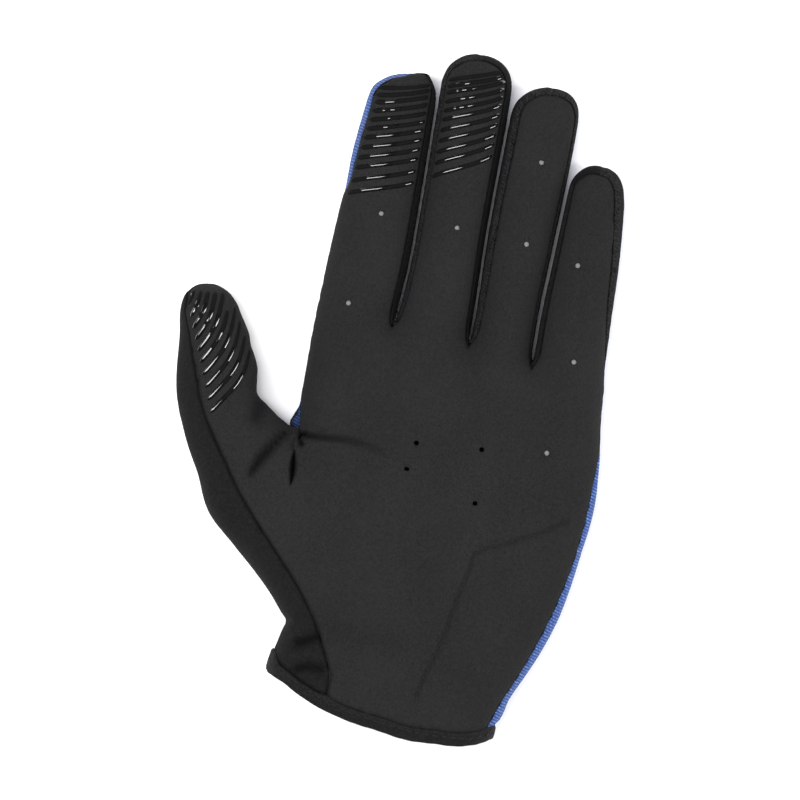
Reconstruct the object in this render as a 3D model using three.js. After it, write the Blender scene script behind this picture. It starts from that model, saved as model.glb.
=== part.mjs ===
import * as THREE from 'three';

// A full-finger cycling glove that lies on its back with the palm up, in millimetres.
// X runs towards the little finger, Y along the fingers and Z up.

// Driving sizes
const palmWidth = 100;          // thumb fold to the little finger's side
const palmLength = 125;         // finger roots to the cuff's lowest point
const fingerLength = 100;       // finger roots to the middle fingertip
const thumbWidth = 27;
const thumbLength = 44;         // thumb root to the tip, along the thumb
const thumbLean = 15;           // degrees from the hand's own line
const palmHeight = 25;
const cuffHeight = 27;
const fingerHeight = 17;
const thumbHeight = 19;
const edgeRadius = 12.4;        // how far the hand's sides round over
const sideLine = 0.42;          // share of the height where the outline lies
const suedeWall = 1.2;
const knitWall = 1.1;
const seamGap = 0.36;           // clearance between two sewn panels
const crotchGap = 0.8;          // the same clearance where a seam turns round a crotch
const fingerGap = 0.9;          // clearance between two fingers
const crotchDepth = 1.9;        // strip that shows at the foot of a finger gap
const bindingHeight = 4.2;
const bindingThick = 2.5;
const gripWidth = 0.75;
const gripHeight = 0.45;
const gripSeat = 0.2;           // clearance of a grip line over the suede
const gripCrown = 0.6;          // width of its top, as a share of its foot
const gripInset = 0.94;         // how near its ends come to the face's seam

// Grid steps of the panels
const stripColumns = 6;
const thumbColumns = 5;
const gussetColumns = 9;
const wristRows = 11;
const palmRows = 4;
const fingerRows = 8;
const tipRows = 3;
const sideColumns = 4;
const cornerAngle = 50;         // where a fingertip grid turns its corner
const tipPower = 2.25;          // roundness of a fingertip, 2 is an ellipse
const backFlatness = 1.03;      // the back's middle lies flat on the surface
const bindingColumns = 26;
const bindingInset = 0.02;      // keeps the tape's two halves apart at its folds, by edgeRadius

const rad = Math.PI / 180;
const quarter = Math.PI / 2;
const mix = (a, b, t) => a + (b - a) * t;
const clamp = (v) => Math.min(1, Math.max(0, v));
const ease = (v) => clamp(v) ** 2 * (3 - 2 * clamp(v));

// A smooth line through one column of a table, read by its first column
function track(rows, column) {
  const keys = rows.map((row) => row.at);
  const values = rows.map((row) => row[column]);
  const slope = (i) => {
    const a = Math.max(0, i - 1);
    const b = Math.min(keys.length - 1, i + 1);
    return (values[b] - values[a]) / (keys[b] - keys[a]);
  };
  return (key) => {
    const last = keys.length - 2;
    let i = keys.findIndex((k, n) => n <= last && key >= k && key < keys[n + 1]);
    if (i < 0) i = key < keys[0] ? 0 : last;
    const step = keys[i + 1] - keys[i];
    const t = clamp((key - keys[i]) / step);
    const a = values[i] + slope(i) * step * t;
    const b = values[i + 1] - slope(i + 1) * step * (1 - t);
    return mix(a, b, ease(t));
  };
}

// Finger outlines above the roots, as shares of fingerLength and palmWidth
const fingerLines = [
  { at: 0.00, radial: -0.484, indexMiddle: -0.226, middleRing: 0.036, ringLittle: 0.252, ulnar: 0.495 },
  { at: 0.18, radial: -0.474, indexMiddle: -0.203, middleRing: 0.043, ringLittle: 0.253, ulnar: 0.487 },
  { at: 0.33, radial: -0.465, indexMiddle: -0.194, middleRing: 0.040, ringLittle: 0.262, ulnar: 0.486 },
  { at: 0.48, radial: -0.453, indexMiddle: -0.192, middleRing: 0.042, ringLittle: 0.270, ulnar: 0.479 },
  { at: 0.63, radial: -0.443, indexMiddle: -0.191, middleRing: 0.046, ringLittle: 0.279, ulnar: 0.466 },
  { at: 0.78, radial: -0.428, indexMiddle: -0.190, middleRing: 0.052, ringLittle: 0.285, ulnar: 0.450 },
];

// Palm lines below the roots, as shares of palmLength and palmWidth
const palmLines = [
  { at: -1.00, indexMiddle: 0.00, middleRing: 0.090, ringLittle: 0.190, fold: -0.110, backEdge: -0.33 },
  { at: -0.60, indexMiddle: -0.13, middleRing: 0.080, ringLittle: 0.268, fold: -0.360, backEdge: -0.38 },
  { at: -0.256, indexMiddle: -0.21, middleRing: 0.045, ringLittle: 0.270, fold: -0.492, backEdge: -0.49 },
  { at: 0.00, indexMiddle: -0.222, middleRing: 0.037, ringLittle: 0.252, fold: -0.50, backEdge: -0.50 },
];

// Outline of the wrist and palm
const ulnarSide = [
  { at: -0.976, side: 0.307 },
  { at: -0.904, side: 0.335 },
  { at: -0.808, side: 0.390 },
  { at: -0.680, side: 0.450 },
  { at: -0.552, side: 0.494 },
  { at: -0.424, side: 0.520 },
  { at: -0.296, side: 0.528 },
  { at: -0.136, side: 0.508 },
  { at: 0.000, side: 0.495 },
];
const thumbSide = [
  { at: -0.930, side: -0.452 },
  { at: -0.872, side: -0.455 },
  { at: -0.808, side: -0.437 },
  { at: -0.762, side: -0.416 },
  { at: -0.712, side: -0.464 },
  { at: -0.648, side: -0.540 },
  { at: -0.584, side: -0.630 },
  { at: -0.520, side: -0.710 },
  { at: -0.456, side: -0.758 },
  { at: -0.392, side: -0.794 },
  { at: -0.328, side: -0.838 },
  { at: -0.256, side: -0.881 },
];
const radialSide = [
  { at: -0.256, side: -0.498 },
  { at: -0.200, side: -0.488 },
  { at: -0.100, side: -0.484 },
  { at: 0.000, side: -0.484 },
];

// Seam between palm and gusset, and how far the back wraps over the ulnar edge
const gussetSeam = [
  { at: -0.936, seam: -0.245 },
  { at: -0.880, seam: -0.240 },
  { at: -0.800, seam: -0.285 },
  { at: -0.696, seam: -0.360 },
  { at: -0.600, seam: -0.460 },
  { at: -0.452, seam: -0.620 },
  { at: -0.352, seam: -0.705 },
  { at: -0.256, seam: -0.785 },
];
const ulnarWrap = [
  { at: -0.98, wrap: 0.62 },
  { at: -0.42, wrap: 0.57 },
  { at: -0.29, wrap: 0.48 },
  { at: -0.22, wrap: 0.28 },
  { at: -0.16, wrap: 0.00 },
  { at: 0.00, wrap: 0.00 },
];

// Height of the hand along its length, as shares between the named heights
const heightLine = [
  { at: -1.00, cuff: 1.0, palm: 0.0, finger: 0.0 },
  { at: -0.75, cuff: 0.3, palm: 0.7, finger: 0.0 },
  { at: -0.45, cuff: 0.0, palm: 1.0, finger: 0.0 },
  { at: -0.10, cuff: 0.0, palm: 0.8, finger: 0.2 },
  { at: 0.20, cuff: 0.0, palm: 0.15, finger: 0.85 },
  { at: 0.50, cuff: 0.0, palm: 0.0, finger: 1.0 },
  { at: 0.85, cuff: 0.0, palm: 0.0, finger: 0.94 },
];

// Where the rows of the palm lie, read across as shares of palmWidth
const thumbRow = -0.256;
const rootRow = [
  { at: -0.50, along: 0.082 },
  { at: -0.222, along: 0.066 },
  { at: 0.037, along: 0.044 },
  { at: 0.252, along: 0.005 },
  { at: 0.50, along: -0.035 },
];
const cuffRow = [
  { at: -0.45, along: -0.850 },
  { at: -0.38, along: -0.888 },
  { at: -0.31, along: -0.916 },
  { at: -0.23, along: -0.940 },
  { at: -0.06, along: -0.970 },
  { at: 0.14, along: -0.982 },
  { at: 0.24, along: -0.976 },
  { at: 0.31, along: -0.952 },
];

// The four fingers: tip as a share of fingerLength, tip roundness as a share of the half width,
// and where the face's seams lie, as shares of the way from the middle of the face to the outline
const fingerSides = ['radial', 'indexMiddle', 'middleRing', 'ringLittle', 'ulnar'];
const fingers = [
  {
    name: 'index', tip: 0.908, round: 1.0, lean: 0.26,
    left: [0.99, 0.99, 0.74], top: 0.86, right: [0.66, 0.64, 0.64],
  },
  {
    name: 'middle', tip: 1.0, round: 1.0, lean: 0.05,
    left: [0.72, 0.72, 0.72], top: 0.60, right: [0.68, 0.64, 0.62],
  },
  {
    name: 'ring', tip: 0.928, round: 1.03, lean: 0.18,
    left: [0.64, 0.58, 0.54], top: 0.56, right: [0.74, 0.72, 0.72],
  },
  {
    name: 'little', tip: 0.693, round: 1.1, lean: 0.0,
    left: [0.66, 0.66, 0.66], top: 0.48, right: [0.94, 0.60, 0.46],
  },
];
const rootBlend = 25;           // how far above its root a finger takes its own shape
const outerRoot = 0.45;         // where the outer fingers' own roots are read, as a share of palmWidth
const crotchRise = 1.45;        // a finger's first row above its crotch, by crotchDepth
const indexStripStart = 17;     // angles round the index fingertip, in degrees
const indexSeamOpen = 25;
const stripTaper = 60;
const stripNarrow = 0.1;        // least width of a side strip, as a share of the half width
const backSeam = 0.8;           // the back's seam, as a share of its own way to the outline

// The thumb, read along its own line as shares of thumbLength, across as shares of thumbWidth
const thumbRoot = { x: -0.77, y: -0.136 };
const thumbOutline = [
  { at: -0.50, left: -0.45, right: 0.83 },
  { at: -0.36, left: -0.505, right: 0.67 },
  { at: -0.21, left: -0.525, right: 0.485 },
  { at: -0.05, left: -0.495, right: 0.49 },
  { at: 0.14, left: -0.455, right: 0.455 },
  { at: 0.34, left: -0.415, right: 0.378 },
];
const thumbTurn = 0.34;         // where the thumb's tip begins
const thumbTip = 0.67;          // and where it ends
const thumbMound = { from: -1.0, to: -0.2, round: -0.3, fold: -0.492 };  // where the hand swells into it
const thumbSeam = { root: 0.25, turn: 0.47, tip: 0.96, right: 0.985 };
const thumbRowRise = { left: 0.288, right: -0.121 };  // its first row above thumbRow, by thumbWidth

// Soft folds and pads of the palm: ends and width as shares of palmWidth, depth as a share of palmHeight
const folds = [
  { name: 'thumb slit', x1: -0.475, y1: -0.40, x2: -0.47, y2: -0.50, width: 0.022, depth: -0.10 },
  { name: 'thumb corner', x1: -0.475, y1: -0.34, x2: -0.46, y2: -0.37, width: 0.025, depth: -0.07 },
  { name: 'palm crease', x1: -0.45, y1: -0.325, x2: -0.20, y2: -0.335, width: 0.022, depth: -0.045 },
  { name: 'palm ridge', x1: -0.42, y1: -0.29, x2: -0.18, y2: -0.295, width: 0.03, depth: 0.03 },
  { name: 'thumb base', x1: -0.54, y1: -0.36, x2: -0.61, y2: -0.50, width: 0.03, depth: -0.07 },
  { name: 'web dimple', x1: -0.625, y1: -0.29, x2: -0.62, y2: -0.30, width: 0.03, depth: -0.05 },
  { name: 'wrist notch', x1: -0.41, y1: -0.955, x2: -0.34, y2: -0.975, width: 0.022, depth: -0.05 },
  { name: 'gusset ridge', x1: -0.42, y1: -0.985, x2: -0.37, y2: -1.02, width: 0.02, depth: 0.05 },
  { name: 'gusset fold', x1: -0.36, y1: -1.09, x2: -0.29, y2: -1.08, width: 0.025, depth: -0.05 },
  { name: 'wrist hollow', x1: -0.26, y1: -0.96, x2: -0.06, y2: -0.96, width: 0.06, depth: -0.03 },
  { name: 'thumb mound', x1: -0.40, y1: -0.62, x2: -0.30, y2: -0.72, width: 0.16, depth: 0.06 },
  { name: 'heel pad', x1: 0.36, y1: -0.60, x2: 0.22, y2: -1.00, width: 0.11, depth: 0.05 },
];

// Grip lines: first and last line at the face's left seam and their rise across the face,
// as shares of the digit's length, and their reach as shares of the way across the face
const gripLines = [
  {
    name: 'index', finger: 0, count: 12, first: 0.475, last: 0.825,
    rise: 0.085, riseEnd: 0.04, from: 0.09, to: 0.95,
  },
  {
    name: 'middle', finger: 1, count: 11, first: 0.575, last: 0.90,
    rise: 0.11, riseEnd: 0.05, from: 0.05, to: 0.95,
  },
];
const thumbGrips = { count: 10, first: -0.30, last: 0.43, rise: 0.36, riseEnd: 0.13, from: 0.06, to: 0.86 };

// A finger's two sides and its half width at one place along it
function fingerAt(index, y) {
  const along = y / fingerLength;
  const low = along < 0;
  const tables = [fingerSides[index], fingerSides[index + 1]].map((name) => {
    if (!low) return track(fingerLines, name)(along);
    if (name === 'radial') return track(radialSide, 'side')(y / palmLength);
    if (name === 'ulnar') return track(ulnarSide, 'side')(y / palmLength);
    return track(palmLines, name)(y / palmLength);
  });
  const left = tables[0] * palmWidth + (index > 0 ? fingerGap / 2 : 0);
  const right = tables[1] * palmWidth - (index < 3 ? fingerGap / 2 : 0);
  return { middle: (left + right) / 2, half: (right - left) / 2 };
}

// A digit's own map: across and beyond are shares of the way to the outline, y is the row
function digitMap(section, turn, reach, lean, place) {
  return (across, beyond, y) => {
    const size = (Math.abs(across) ** tipPower + Math.abs(beyond) ** tipPower) ** (1 / tipPower);
    const flip = size > 1;
    const scale = size > 1e-6 ? Math.sin(quarter * size) / size : quarter;
    const at = section(Math.min(y, turn));
    const share = beyond * scale;
    const x = at.middle + at.half * (across * scale + lean * share * share);
    const along = beyond > 0 ? turn + reach * share : y;
    return { ...place(x, along), flip };
  };
}

const digits = fingers.map((finger, index) => {
  const section = (y) => fingerAt(index, y);
  const end = finger.tip * fingerLength;
  const reach = section(end).half * finger.round;
  const turn = end - reach;
  const map = digitMap(section, turn, reach, finger.lean, (x, y) => ({ x, y }));
  const edge = (values, y) => {
    const t = clamp(y / turn) * 2;
    return t < 1 ? mix(values[0], values[1], ease(t)) : mix(values[1], values[2], ease(t - 1));
  };
  return { ...finger, index, section, turn, end, map, edge };
});

// The thumb's map works along its leaning line
const thumbDirection = { x: -Math.sin(thumbLean * rad), y: Math.cos(thumbLean * rad) };
const thumbOrigin = { x: thumbRoot.x * palmWidth, y: thumbRoot.y * palmLength };
const thumbLeft = track(thumbOutline, 'left');
const thumbRight = track(thumbOutline, 'right');
function thumbSection(v) {
  const left = thumbLeft(v / thumbLength) * thumbWidth;
  const right = thumbRight(v / thumbLength) * thumbWidth;
  return { middle: (left + right) / 2, half: (right - left) / 2 };
}
const thumbPlace = (h, v) => ({
  x: thumbOrigin.x + h * thumbDirection.y + v * thumbDirection.x,
  y: thumbOrigin.y - h * thumbDirection.x + v * thumbDirection.y,
});
const thumbAlong = (x, y) => (x - thumbOrigin.x) * thumbDirection.x + (y - thumbOrigin.y) * thumbDirection.y;
function thumbRowStart(side) {
  const height = thumbRow * palmLength + thumbRowRise[side] * thumbWidth;
  return (height - thumbOrigin.y) / thumbDirection.y;
}
const thumbMap = digitMap(
  thumbSection, thumbTurn * thumbLength, (thumbTip - thumbTurn) * thumbLength, -0.1, thumbPlace);

// Rows of the wrist and palm, bent so that they run from crotch to crotch
const cuffLine = track(cuffRow, 'along');
const rootLine = track(rootRow, 'along');
function rowHeight(part, share) {
  return (x) => {
    const thumbY = thumbRow * palmLength;
    if (part === 'wrist') return mix(cuffLine(x / palmWidth) * palmLength, thumbY, share);
    return mix(thumbY, rootLine(x / palmWidth) * fingerLength, share);
  };
}
const sideOf = {
  thumb: track(thumbSide, 'side'),
  radial: track(radialSide, 'side'),
  ulnar: track(ulnarSide, 'side'),
  ulnarFinger: track(fingerLines, 'ulnar'),
  radialFinger: track(fingerLines, 'radial'),
};
function edgeX(side, y) {
  if (side === 'radial' && y > 0) return sideOf.radialFinger(y / fingerLength) * palmWidth;
  return sideOf[side](y / palmLength) * palmWidth;
}
function handRow(part, share, drop = 0) {
  const bare = rowHeight(part, share);
  const height = (x) => bare(x) + drop;
  const meet = (side) => {
    let x = edgeX(side, height(0));
    for (let turn = 0; turn < 12; turn += 1) x = edgeX(side, height(x));
    return x;
  };
  const left = meet(part === 'wrist' ? 'thumb' : 'radial');
  const right = meet('ulnar');
  const bend = edgeRadius * quarter;
  const girth = right - left - 2 * edgeRadius + 2 * bend;
  const inset = (c) => (c < bend ? edgeRadius * (1 - Math.cos(c / edgeRadius)) : edgeRadius + c - bend);
  const place = (c) => {
    const flip = c < 0 || c > girth;
    const onRow = Math.abs(c > girth ? 2 * girth - c : c);
    const x = onRow < girth / 2 ? left + inset(onRow) : right - inset(girth - onRow);
    return { x, y: height(x), flip };
  };
  const unroll = (d) => {
    if (d > edgeRadius) return bend + d - edgeRadius;
    return edgeRadius * Math.acos(clamp(1 - d / edgeRadius));
  };
  const girthAt = (x) => (x - left < right - x ? unroll(x - left) : girth - unroll(right - x));
  return { left, right, girth, place, girthAt, height };
}

// How far out a point lies on a fingertip's round, 1 on its outline
function tipSize(p, q) {
  return (Math.abs(p) ** tipPower + Math.abs(q) ** tipPower) ** (1 / tipPower);
}

// The outline, walked clockwise from the cuff's thumb end, with the finger gaps in it
function makeOutline() {
  const points = [];
  const step = 2;
  const walk = (from, to, at) => {
    const count = Math.max(2, Math.ceil(Math.abs(to - from) / step));
    for (let i = 0; i <= count; i += 1) points.push(at(mix(from, to, i / count)));
  };
  const arc = (map, side) => {
    const turns = 48;
    for (let i = 1; i < turns; i += 1) {
      const angle = mix(-90, 90, i / turns) * rad;
      const size = tipSize(Math.sin(angle), Math.cos(angle));
      points.push(map(Math.sin(angle) / size, Math.cos(angle) / size, side));
    }
  };
  const thumbFoot = thumbRow * palmLength;
  const cuffFoot = -palmLength * 1.03;
  walk(cuffFoot, thumbFoot - 2, (y) => ({ x: edgeX('thumb', y), y }));
  const thumbStart = thumbAlong(edgeX('thumb', thumbFoot), thumbFoot);
  walk(thumbStart, thumbTurn * thumbLength, (v) => thumbMap(-1, 0, v));
  arc(thumbMap, thumbTurn * thumbLength);
  walk(thumbTurn * thumbLength, thumbOutline[0].at * thumbLength, (v) => thumbMap(1, 0, v));
  walk(thumbFoot + 2, 0, (y) => ({ x: edgeX('radial', y), y }));
  digits.forEach((digit, index) => {
    const foot = (side) => {
      if (side < 0 || side > 2) return 0;
      const x = palmLines[3][fingerSides[side + 1]] * palmWidth;
      return rootLine(x / palmWidth) * fingerLength + crotchDepth;
    };
    walk(foot(index - 1), digit.turn, (y) => digit.map(-1, 0, y));
    arc(digit.map, digit.turn);
    walk(digit.turn, foot(index), (y) => digit.map(1, 0, y));
  });
  walk(0, cuffFoot, (y) => ({ x: edgeX('ulnar', y), y }));
  return points;
}
const outline = makeOutline();

// Whether a place of the plan lies inside the outline
function isInside(x, y) {
  let inside = false;
  outline.forEach((a, i) => {
    const b = outline[(i + 1) % outline.length];
    if ((a.y > y) !== (b.y > y) && x < a.x + ((b.x - a.x) * (y - a.y)) / (b.y - a.y)) inside = !inside;
  });
  return inside;
}

// Nearest place on the outline, with the direction that points into the glove
function nearest(x, y) {
  let best = { far: Infinity };
  for (let i = 0; i + 1 < outline.length; i += 1) {
    const a = outline[i];
    const b = outline[i + 1];
    const dx = b.x - a.x;
    const dy = b.y - a.y;
    const length = Math.hypot(dx, dy);
    if (length < 1e-6) continue;
    const t = clamp(((x - a.x) * dx + (y - a.y) * dy) / length ** 2);
    const px = x - a.x - dx * t;
    const py = y - a.y - dy * t;
    const far = Math.hypot(px, py);
    if (far < best.far - 1e-9) {
      best = { far, px, py, nx: dy / length, ny: -dx / length };
    }
  }
  const deep = isInside(x, y) ? best.far : 0;
  const soft = clamp((deep - 0.6) / 0.8);
  const gx = mix(best.nx, best.px / Math.max(best.far, 1e-6), soft);
  const gy = mix(best.ny, best.py / Math.max(best.far, 1e-6), soft);
  const size = Math.hypot(gx, gy);
  return { deep, gx: gx / size, gy: gy / size };
}

const heights = ['cuff', 'palm', 'finger'].map((name) => track(heightLine, name));
function thumbShare(x, y) {
  const v = thumbAlong(x, y) / thumbLength;
  const reach = (v - thumbMound.from) / (thumbMound.to - thumbMound.from);
  const inward = (thumbMound.fold * palmWidth + edgeRadius - x) / (edgeRadius * 2);
  return ease(reach) * ease(inward);
}
function sizeAt(x, y) {
  const along = y > 0 ? y / fingerLength : y / palmLength;
  const [cuff, palm, finger] = heights.map((line) => line(along));
  const hand = cuff * cuffHeight + palm * palmHeight + finger * fingerHeight;
  const share = thumbShare(x, y);
  let radius = edgeRadius;
  const owner = digits.find((digit) => x < digit.section(y).middle + digit.section(y).half + fingerGap / 2);
  const digit = owner || digits[3];
  if (y > 0) {
    const half = digit.section(Math.min(y, digit.turn)).half;
    radius = mix(edgeRadius, Math.min(edgeRadius, half), ease(y / rootBlend));
  }
  const v = thumbAlong(x, y);
  const thumbHalf = Math.min(edgeRadius, thumbSection(Math.min(v, thumbTurn * thumbLength)).half);
  radius = mix(radius, thumbHalf, share * ease(v / thumbLength - thumbMound.round));
  return { height: mix(hand, thumbHeight, share), radius };
}

function foldDepth(x, y) {
  return folds.reduce((sum, fold) => {
    const ax = fold.x1 * palmWidth;
    const ay = fold.y1 * palmWidth;
    const dx = fold.x2 * palmWidth - ax;
    const dy = fold.y2 * palmWidth - ay;
    const t = clamp(((x - ax) * dx + (y - ay) * dy) / (dx * dx + dy * dy));
    const far = Math.hypot(x - ax - dx * t, y - ay - dy * t) / (fold.width * palmWidth);
    return sum + fold.depth * palmHeight * Math.exp(-far * far);
  }, 0);
}

// The glove's outer skin over one place of its plan, on the palm side or the back
function skin(point, palmSide) {
  const top = palmSide !== Boolean(point.flip);
  const { deep, gx, gy } = nearest(point.x, point.y);
  const { height, radius } = sizeAt(point.x, point.y);
  const level = Math.max(0, 1 - deep / radius);
  const rise = Math.sqrt(1 - level * level);
  const middle = sideLine * height;
  let z = middle - middle * Math.min(1, rise * backFlatness);
  let slope = rise / middle;
  if (top) {
    z = middle + (height - middle) * rise + foldDepth(point.x, point.y) * rise;
    slope = rise / (height - middle);
  }
  const flat = !top && rise * backFlatness > 1;
  const side = flat ? 0 : level / radius;
  const normal = new THREE.Vector3(-gx * side, -gy * side, top ? slope : -slope).normalize();
  return { position: new THREE.Vector3(point.x, point.y, z), normal };
}

// A sewn panel: rows of places become a wall of even thickness
class Panel {
  constructor(name, wall, palmSide) {
    Object.assign(this, { name, wall, palmSide, outer: [], normals: [], quads: [], lookup: new Map() });
  }

  vertex(place) {
    const key = `${place.x.toFixed(3)} ${place.y.toFixed(3)} ${Boolean(place.flip)}`;
    if (!this.lookup.has(key)) {
      const { position, normal } = skin(place, this.palmSide);
      this.lookup.set(key, this.outer.length);
      this.outer.push(position);
      this.normals.push(normal);
    }
    return this.lookup.get(key);
  }

  rows(rows) {
    const indices = rows.map((row) => row.map((place) => this.vertex(place)));
    for (let r = 0; r + 1 < indices.length; r += 1) {
      for (let c = 0; c + 1 < indices[r].length; c += 1) {
        this.quads.push([indices[r][c], indices[r][c + 1], indices[r + 1][c + 1], indices[r + 1][c]]);
      }
    }
  }

  // Every quad is turned so that it faces the way its corners do
  faceOut() {
    this.quads = this.quads.map((quad) => {
      const [a, b, c, d] = quad.map((i) => this.outer[i]);
      const face = c.clone().sub(a).cross(d.clone().sub(b));
      const sum = quad.reduce((total, i) => total.add(this.normals[i]), new THREE.Vector3());
      return face.dot(sum) < 0 ? [...quad].reverse() : quad;
    });
  }

  mesh(material) {
    this.faceOut();
    const count = this.outer.length;
    const inner = this.outer.map((p, i) => p.clone().addScaledVector(this.normals[i], -this.wall));
    const edges = new Map();
    this.quads.forEach((quad) => quad.forEach((a, i) => {
      const b = quad[(i + 1) % 4];
      edges.set(`${a} ${b}`, [a, b]);
    }));
    const faces = [];
    this.quads.forEach(([a, b, c, d]) => {
      faces.push([a, b, c], [a, c, d]);
      faces.push([a + count, c + count, b + count], [a + count, d + count, c + count]);
    });
    edges.forEach(([a, b]) => {
      if (edges.has(`${b} ${a}`)) return;
      faces.push([b, a, a + count], [b, a + count, b + count]);
    });
    return closedMesh(this.name, [...this.outer, ...inner], faces, material);
  }
}

function closedMesh(name, points, faces, material) {
  const geometry = new THREE.BufferGeometry();
  const numbers = points.flatMap((p) => [p.x, p.y, p.z]);
  geometry.setAttribute('position', new THREE.Float32BufferAttribute(numbers, 3));
  geometry.setIndex(faces.flat());
  geometry.computeVertexNormals();
  const mesh = new THREE.Mesh(geometry, material);
  mesh.name = name;
  return mesh;
}

function spread(from, to, count, at) {
  return Array.from({ length: count + 1 }, (_, i) => at(mix(from, to, i / count)));
}

// Grid of a digit's face from its turn to the tip
function tipPoint(radius, angle) {
  const [p, q] = [Math.sin(angle), Math.cos(angle)];
  const size = tipSize(p, q);
  return [radius(angle) * p / size, radius(angle) * q / size];
}
function tipGrid(map, turn, columns, radius) {
  const corner = cornerAngle * rad;
  const grid = [];
  for (let r = 1; r <= tipRows; r += 1) {
    const t = r / tipRows;
    const leftEnd = tipPoint(radius, mix(-quarter, -corner, t));
    const rightEnd = tipPoint(radius, mix(quarter, corner, t));
    const row = [];
    for (let c = 0; c <= columns; c += 1) {
      const s = c / columns;
      const low = [mix(-radius(-quarter), radius(quarter), s), 0];
      const high = tipPoint(radius, mix(-corner, corner, s));
      const feet = [[-radius(-quarter), 0], [radius(quarter), 0]];
      const heads = [tipPoint(radius, -corner), tipPoint(radius, corner)];
      const point = [0, 1].map((k) => {
        const corners = mix(mix(feet[0][k], feet[1][k], s), mix(heads[0][k], heads[1][k], s), t);
        return mix(low[k], high[k], t) + mix(leftEnd[k], rightEnd[k], s) - corners;
      });
      row.push(map(point[0], Math.max(point[1], 1e-5), turn));
    }
    grid.push(row);
  }
  return grid;
}

// How far a seam lies from the middle of a digit's face round its tip
const seamRound = (left, top, right) => (angle) => mix(top, angle < 0 ? left : right, Math.sin(angle) ** 2);
const gapShare = (digit) => seamGap / (digit.section(digit.turn).half * quarter) / 2;

// Rows of a finger above its root, read across the finger by share
function fingerStations(digit, share) {
  const foot = mix(footOf(digit.index - 1), footOf(digit.index), share);
  return spread(foot + crotchDepth * crotchRise, digit.turn, fingerRows, (y) => y);
}
function footOf(gap) {
  const name = fingerSides[gap + 1];
  if (name === 'radial') return rootLine(-outerRoot) * fingerLength;
  if (name === 'ulnar') return rootLine(outerRoot) * fingerLength;
  return rootLine(track(palmLines, name)(0)) * fingerLength;
}

// Seams of the palm face of a finger, and of its back, at one place along it
const palmSeam = (digit, y) => [digit.edge(digit.left, y), digit.edge(digit.right, y)];
const isIndex = (digit) => digit.index === 0;
function backSeams(digit, y) {
  const wrap = digit.edge(digit.left, y);
  const left = isIndex(digit) ? 2 - wrap - 2 * gapShare(digit) : backSeam;
  const right = digit.index === 3 ? mix(digit.right[0], backSeam, ease(y / rootBlend)) : backSeam;
  return [left, right];
}
function fingerFace(digit, seams, round) {
  const columns = spread(0, 1, stripColumns, (share) => fingerStations(digit, share).map((y) => {
    const [left, right] = seams(digit, y);
    return digit.map(mix(-left, right, share), 0, y);
  }));
  const rows = columns[0].map((_, r) => columns.map((column) => column[r]));
  const [left, right] = seams(digit, digit.turn);
  const tip = tipGrid(digit.map, digit.turn, stripColumns, round(left, right));
  return [...rows, ...tip];
}

// The palm panel: wrist, palm, four finger faces and the thumb's face
const lineAt = (name) => track(palmLines, name);
const ulnarWrapAt = track(ulnarWrap, 'wrap');
const gussetSeamAt = track(gussetSeam, 'seam');
const stripLines = ['indexMiddle', 'middleRing', 'ringLittle'];

function rowX(row, line) {
  let x = 0;
  for (let turn = 0; turn < 8; turn += 1) x = line(row.height(x) / palmLength) * palmWidth;
  return x;
}
function stripsOf(row, leftEdge, rightEdge) {
  const knots = [leftEdge, ...stripLines.map((name) => row.girthAt(rowX(row, lineAt(name)))), rightEdge];
  return fingers.map((_, i) => spread(knots[i], knots[i + 1], stripColumns, (c) => row.place(c)));
}
function handRows() {
  const wrist = spread(0, 1, wristRows, (share) => handRow('wrist', share));
  const palm = spread(0, 1, palmRows, (share) => handRow('palm', share)).slice(1);
  return { wrist, palm };
}
const hand = handRows();
const ulnarEdge = (row) => ulnarWrapAt(row.height(row.right) / palmLength) * edgeRadius;

function thumbRows(columns, leftEdge, rightEdge, round) {
  const top = thumbTurn * thumbLength;
  const rows = spread(0, 1, fingerRows - 1, (share) => {
    const leftV = mix(thumbRowStart('left'), top, share);
    const rightV = mix(thumbRowStart('right'), top, share ** 0.8);
    return spread(0, 1, columns, (s) => {
      const v = mix(leftV, rightV, s);
      return thumbMap(mix(-leftEdge(share), rightEdge, s), 0, v);
    });
  });
  return [...rows, ...tipGrid(thumbMap, top, columns, round)];
}
const thumbSeamAt = (share) => mix(thumbSeam.root, thumbSeam.turn, share ** 1.3);
const thumbGap = seamGap / (thumbWidth / 2 * quarter) / 2;

function makePalm(material) {
  const panel = new Panel('palm_panel', suedeWall, true);
  const half = seamGap / 2;
  const strips = fingers.map(() => []);
  const thumb = [];
  hand.wrist.forEach((row) => {
    const fold = row.girthAt(rowX(row, lineAt('fold')));
    const seam = row.girthAt(rowX(row, gussetSeamAt)) + half;
    thumb.push(spread(seam, fold, thumbColumns, (c) => row.place(c)));
    stripsOf(row, fold, row.girth - ulnarEdge(row) - half).forEach((places, i) => strips[i].push(places));
  });
  hand.palm.forEach((row) => {
    stripsOf(row, half, row.girth - ulnarEdge(row) - half).forEach((places, i) => strips[i].push(places));
  });
  digits.forEach((digit, i) => {
    const round = (left, right) => seamRound(left, digit.top, right);
    strips[i].push(...fingerFace(digit, palmSeam, round));
    panel.rows(strips[i]);
  });
  const round = seamRound(thumbSeam.turn, thumbSeam.tip, thumbSeam.right);
  thumb.push(...thumbRows(thumbColumns, thumbSeamAt, thumbSeam.right, round));
  panel.rows(thumb);
  return panel.mesh(material);
}

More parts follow.
